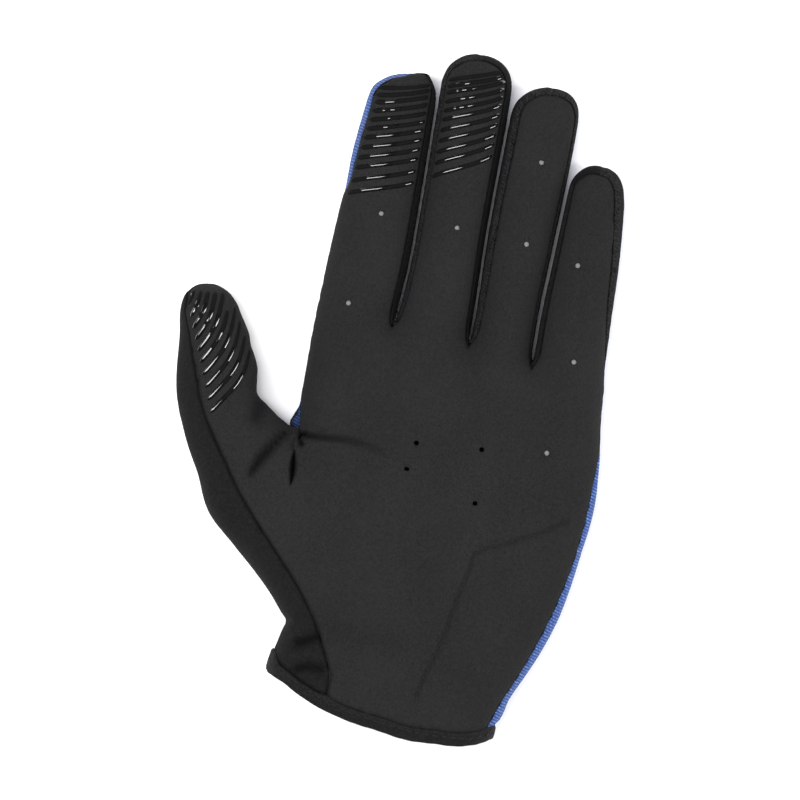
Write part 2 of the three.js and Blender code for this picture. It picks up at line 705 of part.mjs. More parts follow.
function makeBack(material) {
  const panel = new Panel('back_panel', knitWall, false);
  const half = seamGap / 2;
  const strips = fingers.map(() => []);
  const add = (row, left) => {
    const right = row.girth + ulnarEdge(row) - half;
    stripsOf(row, left, right).forEach((places, i) => strips[i].push(places));
  };
  hand.wrist.forEach((row) => add(row, row.girthAt(rowX(row, lineAt('backEdge'))) + seamGap));
  hand.palm.forEach((row) => add(row, seamGap));
  digits.forEach((digit, i) => {
    const tipSeam = isIndex(digit) ? 2 - digit.top - 2 * gapShare(digit) : backSeam;
    const open = indexSeamOpen * rad;
    const round = (left, right) => (angle) => {
      if (!isIndex(digit)) return mix(tipSeam, angle < 0 ? left : right, Math.sin(angle) ** 2);
      const meet = 2 - seamRound(2 - left, digit.top, digit.right[2])(angle) - 2 * gapShare(digit);
      return mix(meet, right, ease((angle - open / 2) / open));
    };
    strips[i].push(...fingerFace(digit, backSeams, round));
    panel.rows(strips[i]);
  });
  return panel.mesh(material);
}

function makeGusset(material) {
  const panel = new Panel('thumb_gusset', knitWall, false);
  const half = seamGap / 2;
  const rows = hand.wrist.map((row) => {
    const seam = row.girthAt(rowX(row, gussetSeamAt)) - half;
    const back = row.girthAt(rowX(row, lineAt('backEdge'))) - half;
    return spread(-seam, back, gussetColumns, (c) => row.place(c));
  });
  const leftEdge = (share) => 2 - thumbSeamAt(share) - 2 * thumbGap;
  const rightEdge = 2 - thumbSeam.right - 2 * thumbGap;
  const faceRound = seamRound(thumbSeam.turn, thumbSeam.tip, thumbSeam.right);
  const round = (angle) => 2 - faceRound(angle) - 2 * thumbGap;
  rows.push(...thumbRows(gussetColumns, leftEdge, rightEdge, round));
  panel.rows(rows);
  return panel.mesh(material);
}

// Side strips run from one fingertip down round the crotch and up to the next fingertip.
// A station holds the strip's two seams, as shares of the way round the finger.
function sideStations(digit, side, startAngle) {
  const corner = cornerAngle * rad;
  const gap = gapShare(digit) * 2;
  const [left, right] = palmSeam(digit, digit.turn);
  const seamTop = seamRound(left, digit.top, right);
  const columns = stripColumns / 2;
  const front = spread(0, corner, columns, (a) => a);
  const angles = [...front, ...spread(corner, quarter, tipRows, (a) => a).slice(1)];
  const stations = angles.filter((angle) => angle >= startAngle - 1e-6).map((angle) => {
    const a = side * angle;
    const low = 2 - backSeam - gap;
    const taper = startAngle > 0 ? ease((angle - startAngle) / (stripTaper * rad)) : 1;
    const top = seamTop(a) + gap;
    const narrow = top + stripNarrow;
    return { digit, a, y: digit.turn, from: top, to: mix(narrow, low, Math.max(taper, 0.05)) };
  });
  fingerStations(digit, side < 0 ? 0 : 1).slice(0, -1).reverse().forEach((y) => {
    const top = palmSeam(digit, y)[side < 0 ? 0 : 1] + gap;
    const low = 2 - backSeams(digit, y)[side < 0 ? 0 : 1] - gap;
    stations.push({ digit, a: side * quarter, y, from: top, to: Math.max(low, top + stripNarrow / 2) });
  });
  return stations;
}
function stationPlace(station, share) {
  const size = mix(station.from, station.to, share);
  const flip = size > 1;
  const way = flip ? 2 - size : size;
  const [p, q] = tipPoint(() => way, station.a);
  const place = station.digit.map(p, station.y < station.digit.turn ? 0 : Math.max(q, 1e-5), station.y);
  return { x: place.x, y: place.y, flip };
}
function makeFourchette(gap, material) {
  const [first, second] = [digits[gap], digits[gap + 1]];
  const start = gap === 0 ? indexStripStart * rad : 0;
  const down = sideStations(first, 1, start);
  const up = sideStations(second, -1, 0).reverse();
  const panel = new Panel(`fourchette_${first.name}_${second.name}`, knitWall, true);
  const row = (station) => spread(0, 1, sideColumns, (share) => stationPlace(station, share));
  const x = lineAt(stripLines[gap])(0) * palmWidth;
  const foot = footOf(gap) + crotchDepth;
  const crotch = spread(0, 1, sideColumns, (share) => {
    const from = Math.asin(1 - (crotchDepth - crotchGap) / edgeRadius) / quarter;
    const size = mix(from, 2 - from, share);
    return { x, y: foot - edgeRadius * (1 - Math.sin(quarter * size)), flip: size > 1 };
  });
  const downRows = nudge(down.map(row));
  const upRows = nudge(up.map(row).reverse()).reverse();
  panel.rows([...downRows, crotch, ...upRows]);
  return panel.mesh(material);
}
// Two strips that meet at a fingertip stay a seam's gap apart
function nudge(rows) {
  const share = seamGap / 2 / Math.hypot(rows[1][0].x - rows[0][0].x, rows[1][0].y - rows[0][0].y);
  const first = rows[0].map((place, i) => ({
    x: mix(place.x, rows[1][i].x, share), y: mix(place.y, rows[1][i].y, share), flip: place.flip,
  }));
  return [first, ...rows.slice(1)];
}
function makeLittleStrip(material) {
  const panel = new Panel('little_side_strip', knitWall, true);
  const rows = sideStations(digits[3], 1, 0).map((station) => (
    spread(0, 1, sideColumns, (share) => stationPlace(station, share))));
  panel.rows(nudge(rows));
  return panel.mesh(material);
}

// The folded tape round the cuff, one closed loop
function makeBinding(material) {
  const row = handRow('wrist', 0, -seamGap);
  const profile = [
    { out: 0.05, down: 0.0 }, { out: 0.2, down: 0.18 }, { out: 0.2, down: 0.8 }, { out: 0.02, down: 0.98 },
    { out: -0.8, down: 0.98 }, { out: -1.0, down: 0.8 }, { out: -1.0, down: 0.05 },
  ];
  const [left, right] = [edgeRadius * bindingInset, row.girth - edgeRadius * bindingInset];
  const palmHalf = spread(left, right, bindingColumns, (c) => skin(row.place(c), true));
  const backHalf = spread(right, left, bindingColumns, (c) => skin(row.place(c), false));
  const loop = [...palmHalf, ...backHalf];
  const points = loop.flatMap(({ position, normal }) => profile.map(({ out, down }) => {
    const lift = Math.max(0, bindingThick * out);
    const flat = Math.abs(normal.z + 1) < 1e-3 ? 0 : lift;
    const point = position.clone().addScaledVector(normal, out < 0 ? bindingThick * out : flat);
    point.y = position.y - bindingHeight * down;
    point.z = Math.max(0, point.z);
    return point;
  }));
  const sides = profile.length;
  const faces = [];
  loop.forEach((_, i) => {
    const next = (i + 1) % loop.length;
    for (let k = 0; k < sides; k += 1) {
      const a = i * sides + k;
      const b = i * sides + (k + 1) % sides;
      const c = next * sides + (k + 1) % sides;
      const d = next * sides + k;
      faces.push([a, b, c], [a, c, d]);
    }
  });
  return closedMesh('cuff_binding', points, outward(points, faces), material);
}

// Faces of a closed body turned outward by the sign of its volume
function outward(points, faces) {
  const volume = faces.reduce((sum, [a, b, c]) => sum + points[a].dot(points[b].clone().cross(points[c])), 0);
  return volume > 0 ? faces : faces.map((face) => [...face].reverse());
}

// One raised grip line over the suede, through a row of places
function makeGrip(name, places, material) {
  const rings = places.map((place, i) => {
    const { position, normal } = skin(place, true);
    const before = skin(places[Math.max(0, i - 1)], true).position;
    const after = skin(places[Math.min(places.length - 1, i + 1)], true).position;
    const across = after.sub(before).cross(normal).normalize().multiplyScalar(gripWidth / 2);
    const low = position.clone().addScaledVector(normal, gripSeat);
    const high = position.clone().addScaledVector(normal, gripSeat + gripHeight);
    const narrow = across.clone().multiplyScalar(gripCrown);
    const foot = [low.clone().sub(across), low.clone().add(across)];
    return [...foot, high.clone().add(narrow), high.clone().sub(narrow)];
  });
  const points = rings.flat();
  const faces = [[0, 1, 2], [0, 2, 3]];
  const end = points.length - 4;
  faces.push([end, end + 2, end + 1], [end, end + 3, end + 2]);
  for (let i = 0; i + 1 < rings.length; i += 1) {
    for (let k = 0; k < 4; k += 1) {
      const a = i * 4 + k;
      const b = i * 4 + (k + 1) % 4;
      faces.push([a, a + 4, b + 4], [a, b + 4, b]);
    }
  }
  return closedMesh(name, points, outward(points, faces), material);
}
// Stops of a grip line at its ends and at every column of the face under it
function gripStops(from, to, columns) {
  const inner = Array.from({ length: columns - 1 }, (_, i) => (i + 1) / columns);
  return [from, ...inner.filter((share) => share > from + 0.03 && share < to - 0.03), to];
}
// A place on a digit's face by its real distance along, kept inside the face's seam
function onFace(map, turn, reach, across, along, seam) {
  if (along <= turn) return map(across, 0, along);
  const wanted = Math.min(0.97, (along - turn) / reach);
  let beyond = wanted;
  for (let i = 0; i < 8; i += 1) {
    const size = tipSize(across, beyond);
    beyond = (wanted * size) / Math.sin(quarter * Math.min(1, size));
  }
  const shrink = Math.min(1, (seam(Math.atan2(across, beyond)) * gripInset) / tipSize(across, beyond));
  return map(across * shrink, beyond * shrink, turn);
}
function makeFingerGrips(lines, material) {
  const digit = digits[lines.finger];
  const [left, right] = palmSeam(digit, digit.turn);
  const seam = seamRound(left, digit.top, right);
  return spread(0, 1, lines.count - 1, (share) => share).map((share, n) => {
    const y = mix(lines.first, lines.last, share) * fingerLength;
    const rise = mix(lines.rise, lines.riseEnd, share) * fingerLength;
    const places = gripStops(lines.from, lines.to, stripColumns).map((s) => {
      const along = y + rise * (0.7 * s + 0.3 * s * s);
      const [near, far] = palmSeam(digit, Math.min(along, digit.turn));
      return onFace(digit.map, digit.turn, digit.end - digit.turn, mix(-near, far, s), along, seam);
    });
    return makeGrip(`${lines.name}_grip_${n + 1}`, places, material);
  });
}
function makeThumbGrips(material) {
  const turn = thumbTurn * thumbLength;
  const start = thumbRowStart('left');
  const seam = seamRound(thumbSeam.turn, thumbSeam.tip, thumbSeam.right);
  return spread(0, 1, thumbGrips.count - 1, (share) => share).map((share, n) => {
    const v = mix(thumbGrips.first, thumbGrips.last, share) * thumbLength;
    const rise = mix(thumbGrips.rise, thumbGrips.riseEnd, share) * thumbLength;
    const places = gripStops(thumbGrips.from, thumbGrips.to, thumbColumns).map((s) => {
      const along = v + rise * (0.7 * s + 0.3 * s * s);
      const near = thumbSeamAt(clamp((along - start) / (turn - start)));
      const across = mix(-near, thumbSeam.right, s);
      return onFace(thumbMap, turn, thumbTip * thumbLength - turn, across, along, seam);
    });
    return makeGrip(`thumb_grip_${n + 1}`, places, material);
  });
}

const suede = new THREE.MeshStandardMaterial({ color: 0x1d1d1f, roughness: 0.92, metalness: 0 });
const blueKnit = new THREE.MeshStandardMaterial({ color: 0x3f66b8, roughness: 0.85, metalness: 0 });
const blackKnit = new THREE.MeshStandardMaterial({ color: 0x121214, roughness: 0.88, metalness: 0 });
const stripCloth = new THREE.MeshStandardMaterial({ color: 0x222225, roughness: 0.85, metalness: 0 });
const tape = new THREE.MeshStandardMaterial({ color: 0x0f0f11, roughness: 0.7, metalness: 0 });
const grip = new THREE.MeshStandardMaterial({ color: 0x0a0a0b, roughness: 0.25, metalness: 0 });

const glove = new THREE.Group();
glove.add(makePalm(suede), makeBack(blueKnit), makeGusset(blackKnit));
glove.add(...[0, 1, 2].map((gap) => makeFourchette(gap, stripCloth)));
glove.add(makeLittleStrip(stripCloth), makeBinding(tape));
gripLines.forEach((lines) => glove.add(...makeFingerGrips(lines, grip)));
glove.add(...makeThumbGrips(grip));

// The origin is the middle of the surface that the glove lies on
const box = new THREE.Box3().setFromObject(glove);
const centre = box.getCenter(new THREE.Vector3());
glove.children.forEach((mesh) => mesh.geometry.translate(-centre.x, -centre.y, -box.min.z));

export default glove;
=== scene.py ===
import math

import bmesh
import bpy
from mathutils import Matrix, Vector
from mathutils.bvhtree import BVHTree
from mathutils.kdtree import KDTree


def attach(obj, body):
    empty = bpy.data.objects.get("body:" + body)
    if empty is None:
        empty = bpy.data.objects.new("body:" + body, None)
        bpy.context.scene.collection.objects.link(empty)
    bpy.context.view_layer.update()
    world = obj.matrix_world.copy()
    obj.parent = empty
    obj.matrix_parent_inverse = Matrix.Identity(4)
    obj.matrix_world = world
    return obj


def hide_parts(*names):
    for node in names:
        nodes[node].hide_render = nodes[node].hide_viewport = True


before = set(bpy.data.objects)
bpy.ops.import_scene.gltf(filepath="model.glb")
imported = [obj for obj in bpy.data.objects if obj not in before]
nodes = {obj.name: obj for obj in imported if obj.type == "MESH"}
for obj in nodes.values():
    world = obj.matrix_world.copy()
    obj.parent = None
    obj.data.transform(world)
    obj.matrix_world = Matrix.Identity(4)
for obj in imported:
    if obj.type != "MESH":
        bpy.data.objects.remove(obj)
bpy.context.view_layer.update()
millimetre = 0.001
patternShift = Vector((4.0, -3.3))  # the cutting pattern's centre in the row frame, in mm
photoTurn = math.radians(9)  # the glove leans this much in the picture


def planPoint(x, y):
    # a place on the cutting pattern, in mm, as metres in the row frame
    return Vector(((x + patternShift.x) * millimetre, (y + patternShift.y) * millimetre))


def smoothStep(low, high, value):
    share = max(0.0, min(1.0, (value - low) / (high - low)))
    return share * share * (3 - 2 * share)


def addObject(name, data):
    thing = bpy.data.objects.new(name, data)
    bpy.context.scene.collection.objects.link(thing)
    return thing


def keepSmooth(shape, mesh):
    # the shape's faces, shaded smooth, become the mesh's
    for face in shape.faces:
        face.smooth = True
    shape.to_mesh(mesh)
    shape.free()


def treeOf(spots):
    tree = KDTree(len(spots))
    for i, spot in enumerate(spots):
        tree.insert(spot, i)
    tree.balance()
    return tree


# camera, lights and floor

studio = {
    "lens": 300, "sensor": 36, "width": 0.264, "gloveHeight": 0.010, "farthest": 20,
    "skyColour": (1, 1, 1, 1), "skyStrength": 1.12,
    "floorSize": 3.0, "floorParts": 4, "floorDrop": 0.00005,
    "floorColour": (0.9, 0.9, 0.905), "floorRoughness": 0.9,
    "leftPlace": (-0.62, 0.06, 1.15), "leftSize": (0.46, 1.25), "leftPower": 21,
    "rightPlace": (1.12, 0.10, 0.66), "rightSize": (0.26, 1.15), "rightPower": 13,
}


def aimAt(thing, place, target):
    thing.location = place
    thing.rotation_euler = (Vector(target) - Vector(place)).to_track_quat("-Z", "Y").to_euler()


def makeCamera():
    data = bpy.data.cameras.new("photoCamera")
    data.lens = studio["lens"]
    data.sensor_width = studio["sensor"]
    data.clip_end = studio["farthest"]
    camera = addObject("photoCamera", data)
    away = studio["width"] * studio["lens"] / studio["sensor"]
    x, y = planPoint(0, 0)
    camera.location = (x, y, studio["gloveHeight"] + away)
    camera.rotation_euler = (0, 0, photoTurn)
    bpy.context.scene.camera = camera


def makeSoftbox(name, place, size, power):
    data = bpy.data.lights.new(name, "AREA")
    data.shape = "RECTANGLE"
    data.size, data.size_y = size
    data.energy = power
    aimAt(addObject(name, data), place, (0, 0, 0))


def makeSky():
    world = bpy.data.worlds.new("studioSky")
    world.use_nodes = True
    back = world.node_tree.nodes["Background"]
    back.inputs["Color"].default_value = studio["skyColour"]
    back.inputs["Strength"].default_value = studio["skyStrength"]
    world.cycles_visibility.glossy = False  # only the softboxes gleam on the grip print
    bpy.context.scene.world = world


makeCamera()
makeSky()
makeSoftbox("leftSoftbox", studio["leftPlace"], studio["leftSize"], studio["leftPower"])
makeSoftbox("rightSoftbox", studio["rightPlace"], studio["rightSize"], studio["rightPower"])
bpy.context.scene.view_settings.view_transform = "Standard"
print("camera and lights placed")


# material helpers

sheenRoughness = 0.5
noiseRoughness = 0.55


def newFinish(name, colour, roughness, specular, sheen=0.0):
    finish = bpy.data.materials.new(name)
    finish.use_nodes = True
    shader = finish.node_tree.nodes["Principled BSDF"]
    shader.inputs["Base Color"].default_value = (*colour, 1)
    shader.inputs["Roughness"].default_value = roughness
    shader.inputs["Specular IOR Level"].default_value = specular
    shader.inputs["Sheen Weight"].default_value = sheen
    shader.inputs["Sheen Roughness"].default_value = sheenRoughness
    return finish


def addNode(finish, kind, **settings):
    node = finish.node_tree.nodes.new(kind)
    for key, value in settings.items():
        setattr(node, key, value)
    return node


def join(finish, start, end):
    finish.node_tree.links.new(start, end)


def inMillimetres(finish, stretch=(1, 1, 1), turn=0.0):
    # object coordinates, so that one unit of a pattern is a millimetre
    source = addNode(finish, "ShaderNodeTexCoord")
    mapping = addNode(finish, "ShaderNodeMapping")
    mapping.inputs["Scale"].default_value = [s / millimetre for s in stretch]
    mapping.inputs["Rotation"].default_value = (0, 0, turn)
    join(finish, source.outputs["Object"], mapping.inputs["Vector"])
    return mapping.outputs["Vector"]


def speckle(finish, where, perMillimetre, detail=3.0):
    grain = addNode(finish, "ShaderNodeTexNoise")
    grain.inputs["Scale"].default_value = perMillimetre
    grain.inputs["Detail"].default_value = detail
    grain.inputs["Roughness"].default_value = noiseRoughness
    join(finish, where, grain.inputs["Vector"])
    return grain.outputs["Fac"]


def sums(finish, kind, first, second):
    node = addNode(finish, "ShaderNodeMath", operation=kind)
    for slot, value in zip(node.inputs, (first, second)):
        if isinstance(value, (int, float)):
            slot.default_value = value
        else:
            join(finish, value, slot)
    return node.outputs["Value"]


def spread(finish, value, low, high, outLow=0.0, outHigh=1.0):
    node = addNode(finish, "ShaderNodeMapRange")
    node.inputs["From Min"].default_value = low
    node.inputs["From Max"].default_value = high
    node.inputs["To Min"].default_value = outLow
    node.inputs["To Max"].default_value = outHigh
    join(finish, value, node.inputs["Value"])
    return node.outputs["Result"]


def blendColour(finish, share, first, second):
    node = addNode(finish, "ShaderNodeMix", data_type="RGBA")
    if isinstance(share, (int, float)):
        node.inputs["Factor"].default_value = share
    else:
        join(finish, share, node.inputs["Factor"])
    colours = [s for s in node.inputs if s.type == "RGBA"]
    for slot, value in zip(colours, (first, second)):
        if isinstance(value, tuple):
            slot.default_value = (*value, 1)
        else:
            join(finish, value, slot)
    return next(s for s in node.outputs if s.type == "RGBA")


def measured(finish, name):
    # a number kept on the cloth's points, such as the distance to its seam
    return addNode(finish, "ShaderNodeAttribute", attribute_name=name).outputs["Fac"]


def bands(finish, value, pitch):
    # 0 to 1 and back once for each pitch
    turn = sums(finish, "MULTIPLY", value, 2 * math.pi / pitch)
    wave = sums(finish, "SINE", turn, 0)
    return sums(finish, "MULTIPLY_ADD", wave, 0.5)


def relief(finish, height, depth, under=None):
    bump = addNode(finish, "ShaderNodeBump")
    bump.inputs["Strength"].default_value = 1.0
    bump.inputs["Distance"].default_value = depth * millimetre
    join(finish, height, bump.inputs["Height"])
    if under is not None:
        join(finish, under, bump.inputs["Normal"])
    return bump.outputs["Normal"]


def dress(finish, colour, normal):
    shader = finish.node_tree.nodes["Principled BSDF"]
    join(finish, colour, shader.inputs["Base Color"])
    join(finish, normal, shader.inputs["Normal"])


# finishes. A pattern is its size and detail. A tone is where it starts and ends, and what it gives there.

def suedeFinish():
    look = {
        "dark": (0.0062, 0.0062, 0.0064), "light": (0.0152, 0.0152, 0.0155),
        "shade": (0.0004, 0.0004, 0.0005),
        "roughness": 0.95, "specular": 0.07, "sheen": 0.012, "stretch": (1, 0.75, 1),
        "nap": (3.4, 3.0), "mottle": (1.25, 4.0), "patch": (0.05, 2.0),
        "mottleTone": (0.3, 0.7, 0, 0.46), "napTone": (0.37, 0.63, 0, 0.66),
        "patchTone": (0.35, 0.65, -0.05, 0.12), "seamShadeTone": (0.1, 0.9, 0.5, 0.0),
        "mottleDepth": 0.12, "napDepth": 0.15,
    }
    finish = newFinish("palmSuede", look["dark"], look["roughness"], look["specular"], look["sheen"])
    where = inMillimetres(finish, look["stretch"])
    nap = speckle(finish, where, *look["nap"])
    mottle = speckle(finish, where, *look["mottle"])
    patch = speckle(finish, where, *look["patch"])
    tone = sums(finish, "ADD", spread(finish, mottle, *look["mottleTone"]),
                spread(finish, nap, *look["napTone"]))
    tone = sums(finish, "ADD", tone, spread(finish, patch, *look["patchTone"]))
    colour = blendColour(finish, tone, look["dark"], look["light"])
    # painted shade: the suede darkens towards its seams, in the rolled seam groove
    seam = spread(finish, measured(finish, "seamAway"), *look["seamShadeTone"])
    colour = blendColour(finish, seam, colour, look["shade"])
    # painted shade in the pressed folds, the slit and along the heel pad's stitched line
    colour = blendColour(finish, measured(finish, "foldShade"), colour, look["shade"])
    normal = relief(finish, mottle, look["mottleDepth"])
    dress(finish, colour, relief(finish, nap, look["napDepth"], normal))
    return finish


def blueFinish():
    look = {
        "dark": (0.016, 0.038, 0.140), "light": (0.078, 0.145, 0.370), "fleck": (0.20, 0.29, 0.54),
        "inside": (0.002, 0.002, 0.003), "roughness": 0.85, "specular": 0.15, "sheen": 0.03,
        "rib": 1.05, "loop": 0.62, "wobble": 0.9, "wobbleShare": 0.5, "slant": 0.35, "lean": 0.6,
        "grain": 2.4,
        "loopTone": (0, 1, 0.45, 1.0), "grainTone": (0.3, 0.7, 0.6, 1.25), "fleckTone": (0.72, 1.0, 0, 0.8),
        "innerShadeTone": (0.75, 0.99, 1.0, 0.0), "ribDepth": 0.28, "grainDepth": 0.08,
        "capRight": (-8.0, 3.0), "capAbove": 92.0, "capHeight": 4.5,
    }
    finish = newFinish("blueRibKnit", look["dark"], look["roughness"], look["specular"], look["sheen"])
    where = inMillimetres(finish)
    split = addNode(finish, "ShaderNodeSeparateXYZ")
    join(finish, where, split.inputs["Vector"])
    wobble = sums(finish, "MULTIPLY", speckle(finish, where, look["wobble"]), look["wobbleShare"])
    along = sums(finish, "ADD", split.outputs["Y"], wobble)
    along = sums(finish, "ADD", along, sums(finish, "MULTIPLY", split.outputs["X"], look["slant"]))
    ribs = bands(finish, along, look["rib"])
    across = sums(finish, "ADD", split.outputs["X"],
                  sums(finish, "MULTIPLY", split.outputs["Z"], look["lean"]))
    loops = bands(finish, across, look["loop"])
    both = sums(finish, "MULTIPLY", ribs, spread(finish, loops, *look["loopTone"]))
    grain = speckle(finish, where, look["grain"])
    tone = sums(finish, "MULTIPLY", both, spread(finish, grain, *look["grainTone"]))
    colour = blendColour(finish, tone, look["dark"], look["light"])
    colour = blendColour(finish, spread(finish, tone, *look["fleckTone"]), colour, look["fleck"])
    # the edge is black from the top of the index fingertip inwards
    low, high = look["capRight"]
    cap = sums(finish, "MULTIPLY", sums(finish, "GREATER_THAN", split.outputs["X"], low),
               sums(finish, "LESS_THAN", split.outputs["X"], high))
    cap = sums(finish, "MULTIPLY", cap, sums(finish, "GREATER_THAN", split.outputs["Y"], look["capAbove"]))
    cap = sums(finish, "MULTIPLY", cap, sums(finish, "GREATER_THAN", split.outputs["Z"], look["capHeight"]))
    colour = blendColour(finish, cap, colour, look["inside"])
    # painted shade: the knit's inner side is painted near black, for the hollow inside the glove
    inner = spread(finish, measured(finish, "outerSide"), *look["innerShadeTone"])
    colour = blendColour(finish, inner, colour, look["inside"])
    normal = relief(finish, both, look["ribDepth"])
    dress(finish, colour, relief(finish, grain, look["grainDepth"], normal))
    return finish


def gussetFinish():
    look = {
        "dark": (0.0036, 0.0036, 0.0038), "light": (0.0112, 0.0112, 0.0115),
        "shade": (0.0006, 0.0006, 0.0006), "roughness": 0.9, "specular": 0.07, "sheen": 0.012,
        "turn": math.radians(32), "rib": 0.42, "loop": 0.5, "weaveShare": 0.35, "grain": (1.1, 4.0),
        "grainTone": (0.3, 0.7, 0, 0.6), "seamShadeTone": (0.15, 1.3, 0.8, 0.0),
        "weaveDepth": 0.07, "grainDepth": 0.10,
    }
    finish = newFinish("blackStretchKnit", look["dark"], look["roughness"], look["specular"], look["sheen"])
    where = inMillimetres(finish, turn=look["turn"])
    split = addNode(finish, "ShaderNodeSeparateXYZ")
    join(finish, where, split.inputs["Vector"])
    ribs = bands(finish, split.outputs["X"], look["rib"])
    loops = bands(finish, split.outputs["Y"], look["loop"])
    both = sums(finish, "MULTIPLY", ribs, loops)
    grain = speckle(finish, where, *look["grain"])
    tone = sums(finish, "ADD", sums(finish, "MULTIPLY", both, look["weaveShare"]),
                spread(finish, grain, *look["grainTone"]))
    colour = blendColour(finish, tone, look["dark"], look["light"])
    # painted shade: the knit darkens towards its seams, in the seam groove
    seam = spread(finish, measured(finish, "seamAway"), *look["seamShadeTone"])
    colour = blendColour(finish, seam, colour, look["shade"])
    # painted shade in the pressed folds
    colour = blendColour(finish, measured(finish, "foldShade"), colour, look["shade"])
    normal = relief(finish, both, look["weaveDepth"])
    dress(finish, colour, relief(finish, grain, look["grainDepth"], normal))
    return finish


def stripFinish():
    look = {
        "dark": (0.0022, 0.0022, 0.0024), "light": (0.0225, 0.0225, 0.023),
        "roughness": 0.9, "specular": 0.07, "sheen": 0.01,
        "rib": 1.15, "slant": 0.45, "wander": 0.7, "wanderShare": 1.9, "crinkle": (0.9, 4.0), "grain": 2.6,
        "crinkleTone": (0.38, 0.62), "nearTone": (2.2, 3.4, 1.0, 0.25), "grainTone": (0.3, 0.7, 0.5, 1.1),
        "deepShadeTone": (3.0, 7.5, 0.1, 1.0), "ribDepth": 0.30, "grainDepth": 0.10,
    }
    finish = newFinish("overlockedStrip", look["dark"], look["roughness"], look["specular"], look["sheen"])
    where = inMillimetres(finish)
    along = sums(finish, "ADD", measured(finish, "seamAlong"),
                 sums(finish, "MULTIPLY", measured(finish, "seamAway"), look["slant"]))
    wander = sums(finish, "MULTIPLY", speckle(finish, where, look["wander"]), look["wanderShare"])
    ribs = bands(finish, sums(finish, "ADD", along, wander), look["rib"])
    crinkle = spread(finish, speckle(finish, where, *look["crinkle"]), *look["crinkleTone"])
    ribs = sums(finish, "MULTIPLY", sums(finish, "ADD", ribs, crinkle), 0.5)
    grain = speckle(finish, where, look["grain"])
    near = spread(finish, measured(finish, "seamAway"), *look["nearTone"])
    height = sums(finish, "MULTIPLY", ribs, near)
    tone = sums(finish, "MULTIPLY", height, spread(finish, grain, *look["grainTone"]))
    # painted shade: the strips darken towards the bottom, deep between the fingers
    split = addNode(finish, "ShaderNodeSeparateXYZ")
    join(finish, where, split.inputs["Vector"])
    tone = sums(finish, "MULTIPLY", tone, spread(finish, split.outputs["Z"], *look["deepShadeTone"]))
    colour = blendColour(finish, tone, look["dark"], look["light"])
    normal = relief(finish, height, look["ribDepth"])
    dress(finish, colour, relief(finish, grain, look["grainDepth"], normal))
    return finish


def tapeFinish():
    look = {
        "dark": (0.0030, 0.0030, 0.0032), "light": (0.0140, 0.0140, 0.0145),
        "roughness": 0.85, "specular": 0.1, "sheen": 0.015, "rib": 0.55, "weft": 0.45, "weaveShare": 0.4,
        "grain": (1.4, 4.0), "grainTone": (0.35, 0.7, 0, 0.6), "weaveDepth": 0.10, "grainDepth": 0.16,
    }
    finish = newFinish("bindingTape", look["dark"], look["roughness"], look["specular"], look["sheen"])
    where = inMillimetres(finish)
    along = measured(finish, "seamAlong")
    weave = sums(finish, "MULTIPLY", bands(finish, along, look["rib"]),
                 bands(finish, measured(finish, "seamAway"), look["weft"]))
    grain = speckle(finish, where, *look["grain"])
    tone = sums(finish, "ADD", sums(finish, "MULTIPLY", weave, look["weaveShare"]),
                spread(finish, grain, *look["grainTone"]))
    colour = blendColour(finish, tone, look["dark"], look["light"])
    normal = relief(finish, weave, look["weaveDepth"])
    dress(finish, colour, relief(finish, grain, look["grainDepth"], normal))
    return finish


def plainFinish(name, look):
    # one grain makes both the colour and the relief
    finish = newFinish(name, look["dark"], look["roughness"], look["specular"], look.get("sheen", 0.0))
    grain = speckle(finish, inMillimetres(finish), look["grain"])
    dress(finish, blendColour(finish, grain, look["dark"], look["light"]),
          relief(finish, grain, look["depth"]))
    return finish


gripPrint = {
    "dark": (0.0020, 0.0020, 0.0020), "light": (0.0058, 0.0058, 0.0058), "grain": 1.2, "depth": 0.004,
}
thread = {
    "dark": (0.003, 0.003, 0.003), "light": (0.016, 0.016, 0.0165),
    "roughness": 0.7, "specular": 0.12, "sheen": 0.02, "grain": 4.0, "depth": 0.06,
}
lining = {"roughness": 0.9, "specular": 0.0, "grain": 3.0, "depth": 0.05}
paleLining = {**lining, "dark": (0.10, 0.10, 0.10), "light": (0.20, 0.20, 0.20)}
# painted shade: a near-black lining for the deep holes
paintedShadeLining = {**lining, "dark": (0.0001, 0.0001, 0.0001), "light": (0.0003, 0.0003, 0.0003)}
finishes = {
    "suede": suedeFinish(), "blue": blueFinish(), "gusset": gussetFinish(), "strip": stripFinish(),
    "tape": tapeFinish(), "thread": plainFinish("sewingThread", thread),
    "mattGrip": plainFinish("wornGripPrint", {**gripPrint, "roughness": 0.8, "specular": 0.07}),
    "glossGrip": plainFinish("glossyGripPrint", {**gripPrint, "roughness": 0.12, "specular": 0.9}),
    "paleHole": plainFinish("paleHoleLining", paleLining),
    "paintedShadeHole": plainFinish("paintedShadeHoleLining", paintedShadeLining),
}
print("materials made")


# the cloth panels, each a refined copy of its CAD node

panels = {
    "mergeAt": 0.00002, "sharpEdge": math.radians(58), "flatJoin": math.radians(38),
    "squareJoin": math.radians(70), "crease": 1.0, "seamStep": 0.0005,
    "seamReach": 1.9, "pucker": 0.05, "puckerPitch": 5.5, "puckerFade": (0.6, 4.5),
    "swellFrom": (0.5, 2.6), "levels": 2,
}


def regionsOf(shape, border):
    # groups of faces that no border edge divides, largest area first
    left = set(shape.faces)
    groups = []
    for start in shape.faces:
        if start not in left:
            continue
        left.remove(start)
        group = [start]
        for face in group:
            for edge in face.edges:
                if edge in border:
                    continue
                for other in edge.link_faces:
                    if other in left:
                        left.remove(other)
                        group.append(other)
        groups.append(group)
    return sorted(groups, key=lambda g: -sum(f.calc_area() for f in g))


